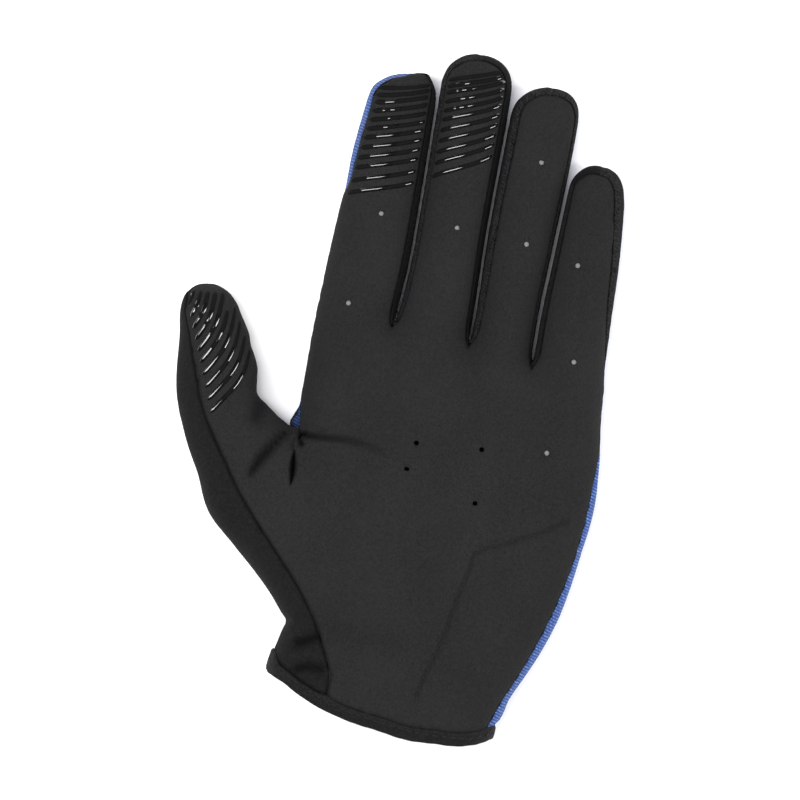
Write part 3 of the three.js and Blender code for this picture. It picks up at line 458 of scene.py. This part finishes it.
def chainsOf(edges):
    # runs of joined edges as ordered lists of points
    links = {}
    for edge in sorted(edges, key=lambda e: e.index):
        a, b = edge.verts
        links.setdefault(a, []).append(b)
        links.setdefault(b, []).append(a)
    used = set()
    chains = []
    for start in sorted(links, key=lambda v: v.index):
        if start in used:
            continue
        chain = [start]
        used.add(start)
        grown = True
        while grown:
            grown = False
            for step in links[chain[-1]]:
                if step not in used:
                    chain.append(step)
                    used.add(step)
                    grown = True
                    break
        closed = len(chain) > 2 and chain[0] in links[chain[-1]]
        chains.append([v.co.copy() for v in chain] + ([chain[0].co.copy()] if closed else []))
    return chains


def seamSamples(chains, step):
    samples = []
    for chain in chains:
        walked = 0.0
        for a, b in zip(chain, chain[1:]):
            span = (b - a).length
            count = max(1, int(span / step))
            for i in range(count):
                samples.append((a.lerp(b, i / count), walked + span * i / count))
            walked += span
    return samples


def refinedPanel(nodeName, pieceName, finish):
    mesh = nodes[nodeName].data.copy()
    mesh.name = pieceName
    shape = bmesh.new()
    shape.from_mesh(mesh)
    bmesh.ops.remove_doubles(shape, verts=shape.verts, dist=panels["mergeAt"])
    bmesh.ops.join_triangles(shape, faces=shape.faces, angle_face_threshold=panels["flatJoin"],
                             angle_shape_threshold=panels["squareJoin"])
    shape.verts.index_update()
    shape.edges.index_update()
    shape.faces.index_update()
    crease = shape.edges.layers.float.new("crease_edge")
    side = shape.verts.layers.float.new("outerSide")
    sharp = {e for e in shape.edges if e.is_manifold and e.calc_face_angle() > panels["sharpEdge"]}
    outer = regionsOf(shape, sharp)[0]
    for edge in sharp:
        edge[crease] = panels["crease"]
    for face in outer:
        for vert in face.verts:
            vert[side] = 1.0
    outerFaces = set(outer)
    seam = [e for e in sharp if any(f in outerFaces for f in e.link_faces)]
    samples = seamSamples(chainsOf(seam), panels["seamStep"])
    keepSmooth(shape, mesh)
    piece = addObject(pieceName, mesh)
    rounding = piece.modifiers.new("rounding", "SUBSURF")
    rounding.levels = panels["levels"]
    rounding.render_levels = panels["levels"]
    finished = bpy.data.meshes.new_from_object(piece.evaluated_get(bpy.context.evaluated_depsgraph_get()))
    piece.modifiers.clear()
    piece.data = finished
    finished.name = pieceName
    finished.materials.clear()
    finished.materials.append(finish)
    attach(piece, "root")
    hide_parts(nodeName)
    return piece, samples


def movePoints(mesh, places):
    mesh.vertices.foreach_set("co", [c for place in places for c in place])
    mesh.update()


def keepNumbers(mesh, name, values):
    mesh.attributes.new(name, "FLOAT", "POINT").data.foreach_set("value", values)


def sinkSeams(piece, samples, sink, swell):
    # the outer face rolls down to its seams, and keeps how far each point is from one
    mesh = piece.data
    tree = treeOf([place for place, _ in samples])
    sides = [point.value for point in mesh.attributes["outerSide"].data]
    normals = [Vector(n.vector) for n in mesh.vertex_normals]
    places = [vert.co.copy() for vert in mesh.vertices]
    away, along = [], []
    for i, place in enumerate(places):
        _, nearest, distance = tree.find(place)
        distance /= millimetre
        walked = samples[nearest][1] / millimetre
        away.append(distance)
        along.append(walked)
        roll = 1 - smoothStep(0, panels["seamReach"], distance)
        wave = panels["pucker"] * math.sin(walked * 2 * math.pi / panels["puckerPitch"])
        wave *= 1 - smoothStep(*panels["puckerFade"], distance)
        full = swell * smoothStep(*panels["swellFrom"], distance)
        places[i] = place - normals[i] * (sink * roll + wave - full) * sides[i] * millimetre
    movePoints(mesh, places)
    keepNumbers(mesh, "seamAway", away)
    keepNumbers(mesh, "seamAlong", along)


# folds pressed into the cloth: a line on the pattern, its width and depth in mm, and how much painted shade
# darkens it

folds = [
    {"line": [(-31.7, -21.6), (-31.4, -24.6), (-31.1, -27.4), (-31.0, -30), (-31.1, -33)], "width": 1.7,
     "depth": -3.6, "shade": 1.0, "taper": 0.75},
    {"line": [(-31.8, -15.6), (-30.7, -16.5), (-29.0, -16.1)], "width": 2.0, "depth": -2.4, "shade": 1.0},
    {"line": [(-31.0, -17.0), (-29.6, -19.4)], "width": 1.6, "depth": -2.0, "shade": 1.0},
    {"line": [(-29.6, -16.4), (-22.6, -16.1), (-16.6, -15.8), (-10, -16.1), (-4, -17.6), (2, -20)],
     "width": 2.0, "depth": -1.3, "shade": 0.85, "fade": 1.0},
    {"line": [(-20, -13.7), (-13, -13.8), (-6.5, -15.3), (-1.7, -17.6)], "width": 1.3, "depth": 0.42,
     "shade": 0.0},
    {"line": [(-35.5, -16.5), (-38.8, -21), (-42.2, -26.2), (-44.6, -31.2)], "width": 3.2, "depth": -1.5,
     "shade": 0.85, "taper": 0.4},
    {"line": [(-45.0, -9), (-45.6, -13.0)], "width": 4.2, "depth": -0.9, "shade": 0.55},
    {"line": [(-12, -79), (-2, -79.5), (9, -79)], "width": 7.0, "depth": -0.45, "shade": 0.12},
    {"line": [(-20.5, -84), (-17.4, -82.6), (-15, -81.2)], "width": 3.0, "depth": -1.2, "shade": 0.85},
    {"line": [(-19.5, -92.4), (-16, -91.0), (-11.8, -91.2)], "width": 2.8, "depth": -1.0, "shade": 0.8},
    {"line": [(-26.5, -78.5), (-24, -80.2), (-21.5, -81.5)], "width": 2.0, "depth": 0.7, "shade": 0.0},
    {"line": [(-25, -87), (-19, -88)], "width": 3.0, "depth": 0.5, "shade": 0.0},
]
# the heel pad's stitched line is pressed like a fold, with a little painted shade along it
heelPad = {
    "line": [(60, -31), (54, -35), (48, -38), (42, -41), (36, -43.5), (32, -46), (31, -52), (29.5, -58),
             (28, -65), (27, -71), (25.5, -77), (24, -82), (22, -88), (20.4, -95)],
    "width": 1.6, "depth": -0.34, "shade": 0.22,
    "stitch": 1.6, "gap": 1.4, "thread": 0.25,
}
holes = {
    "radius": 0.8, "floor": 0.75, "rim": 1.3, "sink": 0.6, "seat": 0.14, "sides": 20, "wall": 0.3,
    "dot": 0.01,
    "pale": [(-21.7, 28.8), (-15.7, 59.7), (9.7, 58.8), (33.8, 84.5), (33.1, 57.1), (50.9, 52.8),
             (54.5, 21.2), (50.3, -9.7)],
    # these holes get near-black discs: painted shade
    "dark": [(7.5, -13.1), (29, -11.9), (5.7, -22), (29.6, -29.7)],
}
pressing = {"low": 3, "full": 6, "small": 2.1, "reach": 1.0, "cuts": 2}


def distanceToLine(place, line):
    # how far a flat point is from a run of points, and its share of the way along
    best, share = 1e9, 0.0
    steps = len(line) - 1
    for i in range(steps):
        a, b = line[i], line[i + 1]
        run = b - a
        t = max(0.0, min(1.0, (place - a).dot(run) / run.length_squared))
        gap = (place - a.lerp(b, t)).length
        if gap < best:
            best, share = gap, (i + t) / steps
    return best, share


def flatLine(points):
    return [planPoint(x, y) / millimetre for x, y in points]


def refineNear(piece, marks):
    # more points where a small mark needs them
    small = [(flatLine(mark["line"]), mark["width"]) for mark in marks if mark["width"] < pressing["small"]]
    wanted = set()
    for vert in piece.data.vertices:
        flat = Vector((vert.co.x, vert.co.y)) / millimetre
        if any(distanceToLine(flat, line)[0] < width + pressing["reach"] for line, width in small):
            wanted.add(vert.index)
    shape = bmesh.new()
    shape.from_mesh(piece.data)
    edges = [e for e in shape.edges if all(v.index in wanted for v in e.verts)]
    bmesh.ops.subdivide_edges(shape, edges=edges, cuts=pressing["cuts"], use_grid_fill=True, smooth=0)
    keepSmooth(shape, piece.data)


def pressFolds(piece, marks):
    mesh = piece.data
    lines = [(flatLine(mark["line"]), mark) for mark in marks]
    places = [vert.co.copy() for vert in mesh.vertices]
    shades = [0.0] * len(places)
    for i, place in enumerate(places):
        flat = Vector((place.x, place.y)) / millimetre
        upper = smoothStep(pressing["low"], pressing["full"], place.z / millimetre)
        if upper == 0:
            continue
        drop, dark = 0.0, 0.0
        for line, mark in lines:
            gap, share = distanceToLine(flat, line)
            slim = mark.get("taper", 0)  # a tapered fold narrows to nothing at its ends
            reach = mark["width"] * (1 - slim + slim * math.sin(math.pi * share))
            if gap > reach:
                continue
            fade = 1 - smoothStep(mark.get("floor", 0), reach, gap)
            fade *= 1 - mark.get("fade", 0) * share
            drop += mark["depth"] * fade * (1 - slim + slim * math.sin(math.pi * share))
            # painted shade: the colour darkens along the fold, kept in foldShade
            dark = max(dark, mark["shade"] * fade)
        place.z += drop * upper * millimetre
        shades[i] = dark * upper
    movePoints(mesh, places)
    keepNumbers(mesh, "foldShade", shades)


palmMarks = folds + [heelPad]
holeMarks = [{"line": [(x, y), (x + holes["dot"], y)], "width": holes["rim"], "floor": holes["floor"],
              "depth": -holes["sink"], "shade": 0.0} for x, y in holes["pale"] + holes["dark"]]
cloths = {}
for nodeName, pieceName, finish, slot, sink, swell in (
    ("palm_panel", "palmSuedePanel", "suede", "palm_suede", 0.28, 0.0),
    ("back_panel", "backKnitPanel", "blue", "blue_knit", 0.3, 0.0),
    ("thumb_gusset", "thumbKnitGusset", "gusset", "black_knit", 0.28, 0.0),
    ("fourchette_index_middle", "stripIndexMiddle", "strip", "side_strip", 0.12, 0.3),
    ("fourchette_middle_ring", "stripMiddleRing", "strip", "side_strip", 0.12, 0.3),
    ("fourchette_ring_little", "stripRingLittle", "strip", "side_strip", 0.12, 0.3),
    ("little_side_strip", "stripLittleSide", "strip", "side_strip", 0.12, 0.3),
    ("cuff_binding", "cuffTape", "tape", "binding_tape", 0.0, 0.0),
):
    piece, samples = refinedPanel(nodeName, pieceName, finishes[finish])
    marks = palmMarks + (holeMarks if nodeName == "palm_panel" else [])
    if nodeName in ("palm_panel", "thumb_gusset"):
        refineNear(piece, marks)
    sinkSeams(piece, samples, sink, swell)
    pressFolds(piece, marks)
    cloths[nodeName] = piece
    print("cloth", pieceName, len(piece.data.polygons), "faces")


seams = {
    "gap": 0.8, "cuffGap": 1.2, "share": 0.49,
    "pairs": [
        ("palm_panel", "thumb_gusset"), ("palm_panel", "back_panel"), ("thumb_gusset", "back_panel"),
        ("fourchette_index_middle", "fourchette_middle_ring"),
        ("fourchette_middle_ring", "fourchette_ring_little"),
        ("fourchette_ring_little", "little_side_strip"),
    ],
    "cuffPairs": [
        ("palm_panel", "cuff_binding"), ("back_panel", "cuff_binding"), ("thumb_gusset", "cuff_binding"),
    ],
}


def closeGap(first, second, reach):
    # two cloths that are sewn edge to edge meet in their seam
    pair = (cloths[first], cloths[second])
    places = [[v.co.copy() for v in piece.data.vertices] for piece in pair]
    trees = [treeOf(spots) for spots in places]
    for piece, spots, other in zip(pair, places, reversed(trees)):
        moved = []
        for spot in spots:
            near, _, distance = other.find(spot)
            moved.append(spot.lerp(near, seams["share"]) if distance < reach * millimetre else spot)
        movePoints(piece.data, moved)


for first, second in seams["pairs"]:
    closeGap(first, second, seams["gap"])
for first, second in seams["cuffPairs"]:
    closeGap(first, second, seams["cuffGap"])


# where the outline leaves the CAD a little: which cloths, a place on the pattern, its reach and move, in mm

edges = ("palm_panel", "back_panel", "thumb_gusset")
wrist = ("palm_panel", "back_panel", "thumb_gusset", "cuff_binding")
littleTip = ("palm_panel", "back_panel", "fourchette_ring_little", "little_side_strip")
nudges = [
    {"on": edges, "spot": (-26.4, -77.6), "reach": 4.0, "move": (1.1, 0.2)},
    {"on": edges, "spot": (-28.4, -86.5), "reach": 4.5, "move": (0.2, 0.0)},
    {"on": edges, "spot": (-53.0, 15.5), "reach": 7.0, "move": (0.9, 0.2)},
    {"on": edges, "spot": (-48.0, 4.5), "reach": 8.0, "move": (0.5, 0.1)},
    {"on": edges, "spot": (-44.4, -4.4), "reach": 5.0, "move": (-1.1, -0.4)},
    {"on": edges, "spot": (-74.0, -4.0), "reach": 17.0, "move": (-1.0, 0.0)},
    {"on": edges, "spot": (-66.0, -27.0), "reach": 14.0, "move": (-0.6, -0.1)},
    {"on": edges, "spot": (-57.0, -46.0), "reach": 15.0, "move": (-1.0, -0.4)},
    {"on": ("palm_panel", "back_panel"), "spot": (66.0, 12.0), "reach": 14.0, "move": (0.6, 0.0)},
    {"on": ("palm_panel", "back_panel"), "spot": (68.0, -4.0), "reach": 14.0, "move": (0.6, 0.0)},
    {"on": ("back_panel",), "spot": (69.5, -21.0), "reach": 26.0, "move": (0.8, -0.2), "fromSeam": 1.8},
    {"on": ("back_panel",), "spot": (60.0, -66.0), "reach": 30.0, "move": (0.9, -0.3), "fromSeam": 1.8},
    {"on": ("back_panel",), "spot": (48.5, -98.5), "reach": 8.0, "move": (1.1, 0.4), "fromSeam": 1.2},
    {"on": ("back_panel",), "spot": (-28.3, 77.5), "reach": 20.0, "move": (-0.45, 0.1), "fromSeam": 1.5},
    {"on": ("back_panel",), "spot": (-33.6, -12.8), "reach": 8.0, "move": (-3.2, 0.0), "fromSeam": 0.6},
    {"on": ("palm_panel", "back_panel"), "spot": (-8.8, 107.0), "reach": 5.0, "move": (0.5, 0.6)},
    {"on": ("fourchette_index_middle",), "spot": (-6.6, 105.6), "reach": 4.4, "move": (-1.2, 1.6)},
    {"on": littleTip, "spot": (51.5, 86.3), "reach": 8.0, "move": (-0.1, 0.6)},
    {"on": littleTip, "spot": (60.8, 80.5), "reach": 7.0, "move": (-0.6, 0.1)},
    {"on": wrist, "spot": (37.9, -108.0), "reach": 24.0, "move": (0.1, 1.0)},
    {"on": wrist, "spot": (8.0, -106.5), "reach": 16.0, "move": (0.0, 0.5)},
    {"on": ("cuff_binding",), "spot": (47.6, -101.5), "reach": 6.0, "move": (0.4, 0.7)},
    {"on": ("cuff_binding",), "spot": (-29.0, -90.0), "reach": 4.5, "move": (0.4, 2.2)},
    {"on": ("cuff_binding",), "spot": (-28.5, -95.0), "reach": 7.0, "move": (-0.7, -1.0)},
    {"on": ("cuff_binding",), "spot": (-8.6, -99.7), "reach": 4.0, "move": (0.1, 0.6)},
]


def nudgeCloth(piece, moves):
    mesh = piece.data
    away = [point.value for point in mesh.attributes["seamAway"].data]
    places = [vert.co.copy() for vert in mesh.vertices]
    for nudge in moves:
        spot = planPoint(*nudge["spot"])
        move = Vector((*nudge["move"], 0)) * millimetre
        for i, place in enumerate(places):
            gap = (Vector((place.x, place.y)) - spot).length / millimetre
            if gap > nudge["reach"]:
                continue
            share = 1 - smoothStep(0, nudge["reach"], gap)
            if "fromSeam" in nudge:
                share *= smoothStep(0, nudge["fromSeam"], away[i])
            place += move * share
    movePoints(mesh, places)


for nodeName, piece in cloths.items():
    nudgeCloth(piece, [nudge for nudge in nudges if nodeName in nudge["on"]])


# the blue back rolls its seam up over the index finger's outer side, and at the thumb's crotch.
# The seam moves towards a middle line and up, and each cloth follows it over its own reach.

blueWraps = [
    {"middle": [(-17.5, 55), (-14.0, 97.3)], "grow": "up", "from": 62.5, "full": 70, "right": (-15.5, -12.0),
     "palmReach": 7.0, "backReach": 2.6, "inward": 1.35, "up": 2.8},
    {"middle": [(-20, -20), (-20, 0)], "grow": "down", "from": -3.5, "full": -13, "left": (-35.0, -33.4),
     "low": (-18.5, -16.0), "right": (-29.0, -26.0),
     "palmReach": 4.5, "backReach": 1.2, "inward": 2.1, "up": 2.2},
]


def wrapShare(wrap, x, y):
    if wrap["grow"] == "up":
        share = smoothStep(wrap["from"], wrap["full"], y)
    else:
        share = smoothStep(-wrap["from"], -wrap["full"], -y)
    low, high = wrap["right"]
    share *= 1 - smoothStep(low, high, x)
    for edge, value in (("left", x), ("low", y)):
        if edge in wrap:
            share *= smoothStep(*wrap[edge], value)
    return share


def wrapBlue(piece, reachName):
    mesh = piece.data
    away = [point.value for point in mesh.attributes["seamAway"].data]
    places = [vert.co.copy() for vert in mesh.vertices]
    for wrap in blueWraps:
        middle = flatLine(wrap["middle"])
        start, run = middle[0], middle[1] - middle[0]
        for i, place in enumerate(places):
            if away[i] > wrap[reachName]:
                continue
            flat = Vector((place.x, place.y)) / millimetre
            share = wrapShare(wrap, *(flat - patternShift))
            if share == 0:
                continue
            t = max(0.0, min(1.0, (flat - start).dot(run) / run.length_squared))
            inward = (start + run * t - flat).normalized()
            share *= 1 - smoothStep(0, wrap[reachName], away[i])
            place += Vector((*inward * wrap["inward"], wrap["up"])) * share * millimetre
    movePoints(mesh, places)


wrapBlue(cloths["palm_panel"], "palmReach")
wrapBlue(cloths["back_panel"], "backReach")


def surfaceOf(piece):
    mesh = piece.data
    return BVHTree.FromPolygons([v.co for v in mesh.vertices], [p.vertices for p in mesh.polygons])


palmSurface = surfaceOf(cloths["palm_panel"])
tapeSurface = surfaceOf(cloths["cuff_binding"])
rays = {"above": 0.2, "below": -0.05}  # the heights that they start from, in metres


def meet(surface, flat, below=False):
    # where a line straight down, or up from below, meets the cloth, and which way the cloth faces there
    start, way = (rays["below"], 1) if below else (rays["above"], -1)
    hit, normal, _, _ = surface.ray_cast(Vector((flat.x, flat.y, start)), Vector((0, 0, way)))
    return hit, normal


# grip lines: beads half sunk in the suede, on the lines of the CAD ones. Part of each is still glossy.

grips = {"radius": 0.98, "sunk": 0.55, "step": 0.7, "smoothing": 4, "taper": 1.1, "end": 0.7, "sides": 5,
         "axis": (0.10, 0.995), "corners": 4}
fingerGrips = {
    "index": {"trim": 1.7, "rise": 1.3, "shiny": 6, "faint": 4, "flecks": 75,
              "gloss": [(0.24, 0.60), (0.84, 0.97)],
              "slide": [(0, -1.0), (0.09, 0.0), (0.18, 1.2), (0.45, 2.1), (0.8, 1.8), (1, 0.3)]},
    "middle": {"trim": 0.0, "rise": 1.6, "shiny": 6, "faint": 4, "flecks": 75,
               "gloss": [(0.18, 0.50), (0.81, 0.98)],
               "slide": [(0, -0.6), (0.1, 0.5), (0.3, 1.5), (0.5, 2.2), (0.8, 1.6), (1, -0.4)]},
}
thumbGrips = {
    "count": 10, "middleRow": 4, "shiny": 9, "faint": 1, "flecks": 40, "gloss": [(0.02, 0.30), (0.42, 0.62)],
    "low": [(-60.9, -13.7), (-57.4, -8.7), (-54.0, -3.7), (-52.2, 1.1), (-51.6, 5.7), (-51.4, 8.6)],
    "middle": [(-66.7, 2.0), (-64.4, 5.9), (-62.3, 10.1), (-61.1, 14.7), (-60.7, 20.2), (-60.7, 26.0)],
    "high": [(-73.7, 19.9), (-73.4, 21.2), (-73.2, 22.4), (-73.0, 23.4), (-72.9, 24.4), (-72.9, 25.1)],
}


def alongTable(table, value):
    # a value read between two lines of a small table
    for (lowAt, low), (highAt, high) in zip(table, table[1:]):
        if value <= highAt:
            return low + (high - low) * (value - lowAt) / (highAt - lowAt)
    return table[-1][1]


def gripPath(nodeName):
    # the middle of each ring of a CAD grip line, from its left end to the right
    shape = bmesh.new()
    shape.from_mesh(nodes[nodeName].data)
    bmesh.ops.remove_doubles(shape, verts=shape.verts, dist=panels["mergeAt"])
    points = [v.co.copy() for v in shape.verts]
    shape.free()
    axis = max(points, key=lambda p: p.x) - min(points, key=lambda p: p.x)
    points.sort(key=axis.dot)
    corners = grips["corners"]
    starts = range(0, len(points) - corners + 1, corners)
    return [sum(points[i:i + corners], Vector()) / corners for i in starts]


def fingerPaths(prefix):
    # the rows lie closer together near the fingertip, and their right ends rise
    look = fingerGrips[prefix]
    paths = sorted((gripPath(name) for name in gripNames(prefix)), key=lambda path: path[0].y)
    axis = Vector((*grips["axis"], 0)) * millimetre
    for row, path in enumerate(paths):
        high = row / (len(paths) - 1)
        start = path[0].copy()
        span = (path[-1] - start).length
        while (path[0] - start).length < look["trim"] * millimetre:
            path.pop(0)
        for spot in path:
            share = (spot - start).length / span
            spot += axis * (alongTable(look["slide"], high) + look["rise"] * high * share * share)
    return paths


def seatPath(path):
    # the path in small steps, each pressed on to the suede
    seated = []
    for a, b in zip(path, path[1:]):
        steps = max(1, round((b - a).length / millimetre / grips["step"]))
        seated += [a.lerp(b, i / steps) for i in range(steps)]
    seated.append(path[-1])
    laid = []
    for spot in seated:
        hit, normal, _, _ = palmSurface.find_nearest(spot)
        laid.append(hit - normal * grips["sunk"] * millimetre)
    for _ in range(grips["smoothing"]):
        inner = [(a + b * 2 + c) / 4 for a, b, c in zip(laid, laid[1:], laid[2:])]
        laid = [laid[0], *inner, laid[-1]]
    return laid


def shinesAt(look, row, share):
    # where the print is still glossy: long streaks on the lower rows, flecks on the next ones
    if not any(low < share < high for low, high in look["gloss"]):
        return False
    if row < look["shiny"]:
        return True
    return row < look["shiny"] + look["faint"] and int(share * look["flecks"]) % 3 == 0


def gripBeads(pieceName, paths, replaced, look):
    curve = bpy.data.curves.new(pieceName, "CURVE")
    curve.dimensions = "3D"
    curve.bevel_depth = grips["radius"] * millimetre
    curve.bevel_resolution = grips["sides"]
    curve.use_fill_caps = True
    spots = []
    for row, path in enumerate(paths):
        laid = seatPath(path)
        spline = curve.splines.new("POLY")
        spline.points.add(len(laid) - 1)
        whole = sum((b - a).length for a, b in zip(laid, laid[1:])) / millimetre
        walked = 0.0
        for i, spot in enumerate(laid):
            if i:
                walked += (spot - laid[i - 1]).length / millimetre
            end = min(walked, whole - walked) / grips["taper"]
            spline.points[i].co = (*spot, 1)
            spline.points[i].radius = grips["end"] + (1 - grips["end"]) * smoothStep(0, 1, end)
            spots.append((spot, shinesAt(look, row, walked / whole)))
    tube = addObject(pieceName + "Curve", curve)
    mesh = bpy.data.meshes.new_from_object(tube.evaluated_get(bpy.context.evaluated_depsgraph_get()))
    bpy.data.objects.remove(tube)
    mesh.name = pieceName
    mesh.materials.clear()
    mesh.materials.append(finishes["mattGrip"])
    mesh.materials.append(finishes["glossGrip"])
    tree = treeOf([spot for spot, _ in spots])
    for face in mesh.polygons:
        face.use_smooth = True
        face.material_index = int(spots[tree.find(face.center)[1]][1])
    piece = addObject(pieceName, mesh)
    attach(piece, "root")
    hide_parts(*replaced)


def gripNames(prefix):
    return sorted(n for n in nodes if n.startswith(prefix + "_grip_"))


def thumbPaths():
    # each row lies between two measured ones
    paths = []
    middle, last = thumbGrips["middleRow"], thumbGrips["count"] - 1
    for row in range(thumbGrips["count"]):
        if row <= middle:
            pair, share = ("low", "middle"), row / middle
        else:
            pair, share = ("middle", "high"), (row - middle) / (last - middle)
        path = []
        for a, b in zip(*(thumbGrips[name] for name in pair)):
            spot = planPoint(*a).lerp(planPoint(*b), share)
            hit, _ = meet(palmSurface, spot)
            if hit:
                path.append(hit)
        if len(path) > 1:
            paths.append(path)
    return paths


for prefix, pieceName in (("index", "gripLinesIndex"), ("middle", "gripLinesMiddle")):
    gripBeads(pieceName, fingerPaths(prefix), gripNames(prefix), fingerGrips[prefix])
gripBeads("gripLinesThumb", thumbPaths(), gripNames("thumb"), thumbGrips)
print("grip lines seated")


# perforations: a small disc in each dimple of the suede. The near-black discs are painted shade, standing in
# for the hollow under the holes in the middle of the palm

def makeHoles(pieceName, places, finish):
    shape = bmesh.new()
    for x, y in places:
        hit, normal = meet(palmSurface, planPoint(x, y))
        turn = normal.to_track_quat("Z", "Y").to_matrix().to_4x4()
        place = Matrix.Translation(hit + normal * holes["seat"] * millimetre) @ turn
        bmesh.ops.create_circle(shape, cap_ends=True, segments=holes["sides"],
                                radius=holes["radius"] * millimetre, matrix=place)
    mesh = bpy.data.meshes.new(pieceName)
    keepSmooth(shape, mesh)
    piece = addObject(pieceName, mesh)
    mesh.materials.append(finishes[finish])
    wall = piece.modifiers.new("wall", "SOLIDIFY")
    wall.thickness = holes["wall"] * millimetre
    wall.offset = -1
    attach(piece, "root")


makeHoles("paleHoles", holes["pale"], "paleHole")
# painted shade discs in the deep holes
makeHoles("paintedShadeHoles", holes["dark"], "paintedShadeHole")


# stitches: short rounded threads laid on the cloth. The glove lies on those of its back, so they are sunk.

sewing = {"sides": 8, "rings": 6, "flat": 0.8, "proud": 0.3, "sunk": -0.65}
cuff = {
    "line": [(-27.2, -91), (-22, -95), (-15, -98.7), (-7, -101.7), (0, -103.7), (10, -105.4), (20, -106.6),
             (30, -106.9), (40, -106.1), (45.6, -104)],
    "stitch": 2.1, "gap": 0.8, "thread": 0.3,
}


def walkLine(points, stitch, gap):
    # centre and direction of each stitch on a flat run of points, in mm
    line = flatLine(points)
    laid = []
    spot = 0.0
    walked = 0.0
    for a, b in zip(line, line[1:]):
        span = (b - a).length
        while spot + stitch / 2 < walked + span:
            middle = a.lerp(b, max(0.0, spot + stitch / 2 - walked) / span)
            laid.append((middle, (b - a).normalized()))
            spot += stitch + gap
        walked += span
    return laid


def sewLine(pieceName, seam, surface, below=False):
    shape = bmesh.new()
    proud = sewing["sunk"] if below else sewing["proud"]
    for middle, run in walkLine(seam["line"], seam["stitch"], seam["gap"]):
        hit, normal = meet(surface, middle * millimetre, below)
        if hit is None:
            continue
        along = Vector((run.x, run.y, 0))
        along = (along - normal * along.dot(normal)).normalized()
        across = normal.cross(along)
        turn = Matrix((along, across, normal)).transposed().to_4x4()
        size = Matrix.Diagonal((seam["stitch"] / 2 / seam["thread"], 1, sewing["flat"], 1))
        place = Matrix.Translation(hit + normal * seam["thread"] * proud * millimetre) @ turn @ size
        bmesh.ops.create_uvsphere(shape, u_segments=sewing["sides"], v_segments=sewing["rings"],
                                  radius=seam["thread"] * millimetre, matrix=place)
    mesh = bpy.data.meshes.new(pieceName)
    keepSmooth(shape, mesh)
    piece = addObject(pieceName, mesh)
    mesh.materials.append(finishes["thread"])
    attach(piece, "root")


sewLine("heelPadStitches", heelPad, palmSurface)
sewLine("cuffStitchesPalm", cuff, tapeSurface)
sewLine("cuffStitchesBack", cuff, tapeSurface, below=True)
print("stitches laid")


def makeFloor():
    shape = bmesh.new()
    parts = studio["floorParts"]
    bmesh.ops.create_grid(shape, x_segments=parts, y_segments=parts, size=studio["floorSize"] / 2)
    bmesh.ops.translate(shape, verts=shape.verts, vec=(0, 0, -studio["floorDrop"]))
    mesh = bpy.data.meshes.new("paleFloor")
    shape.to_mesh(mesh)
    shape.free()
    floor = addObject("paleFloor", mesh)
    mesh.materials.append(newFinish("paleFloor", studio["floorColour"], studio["floorRoughness"], 0.0))


makeFloor()
print("scene ready")
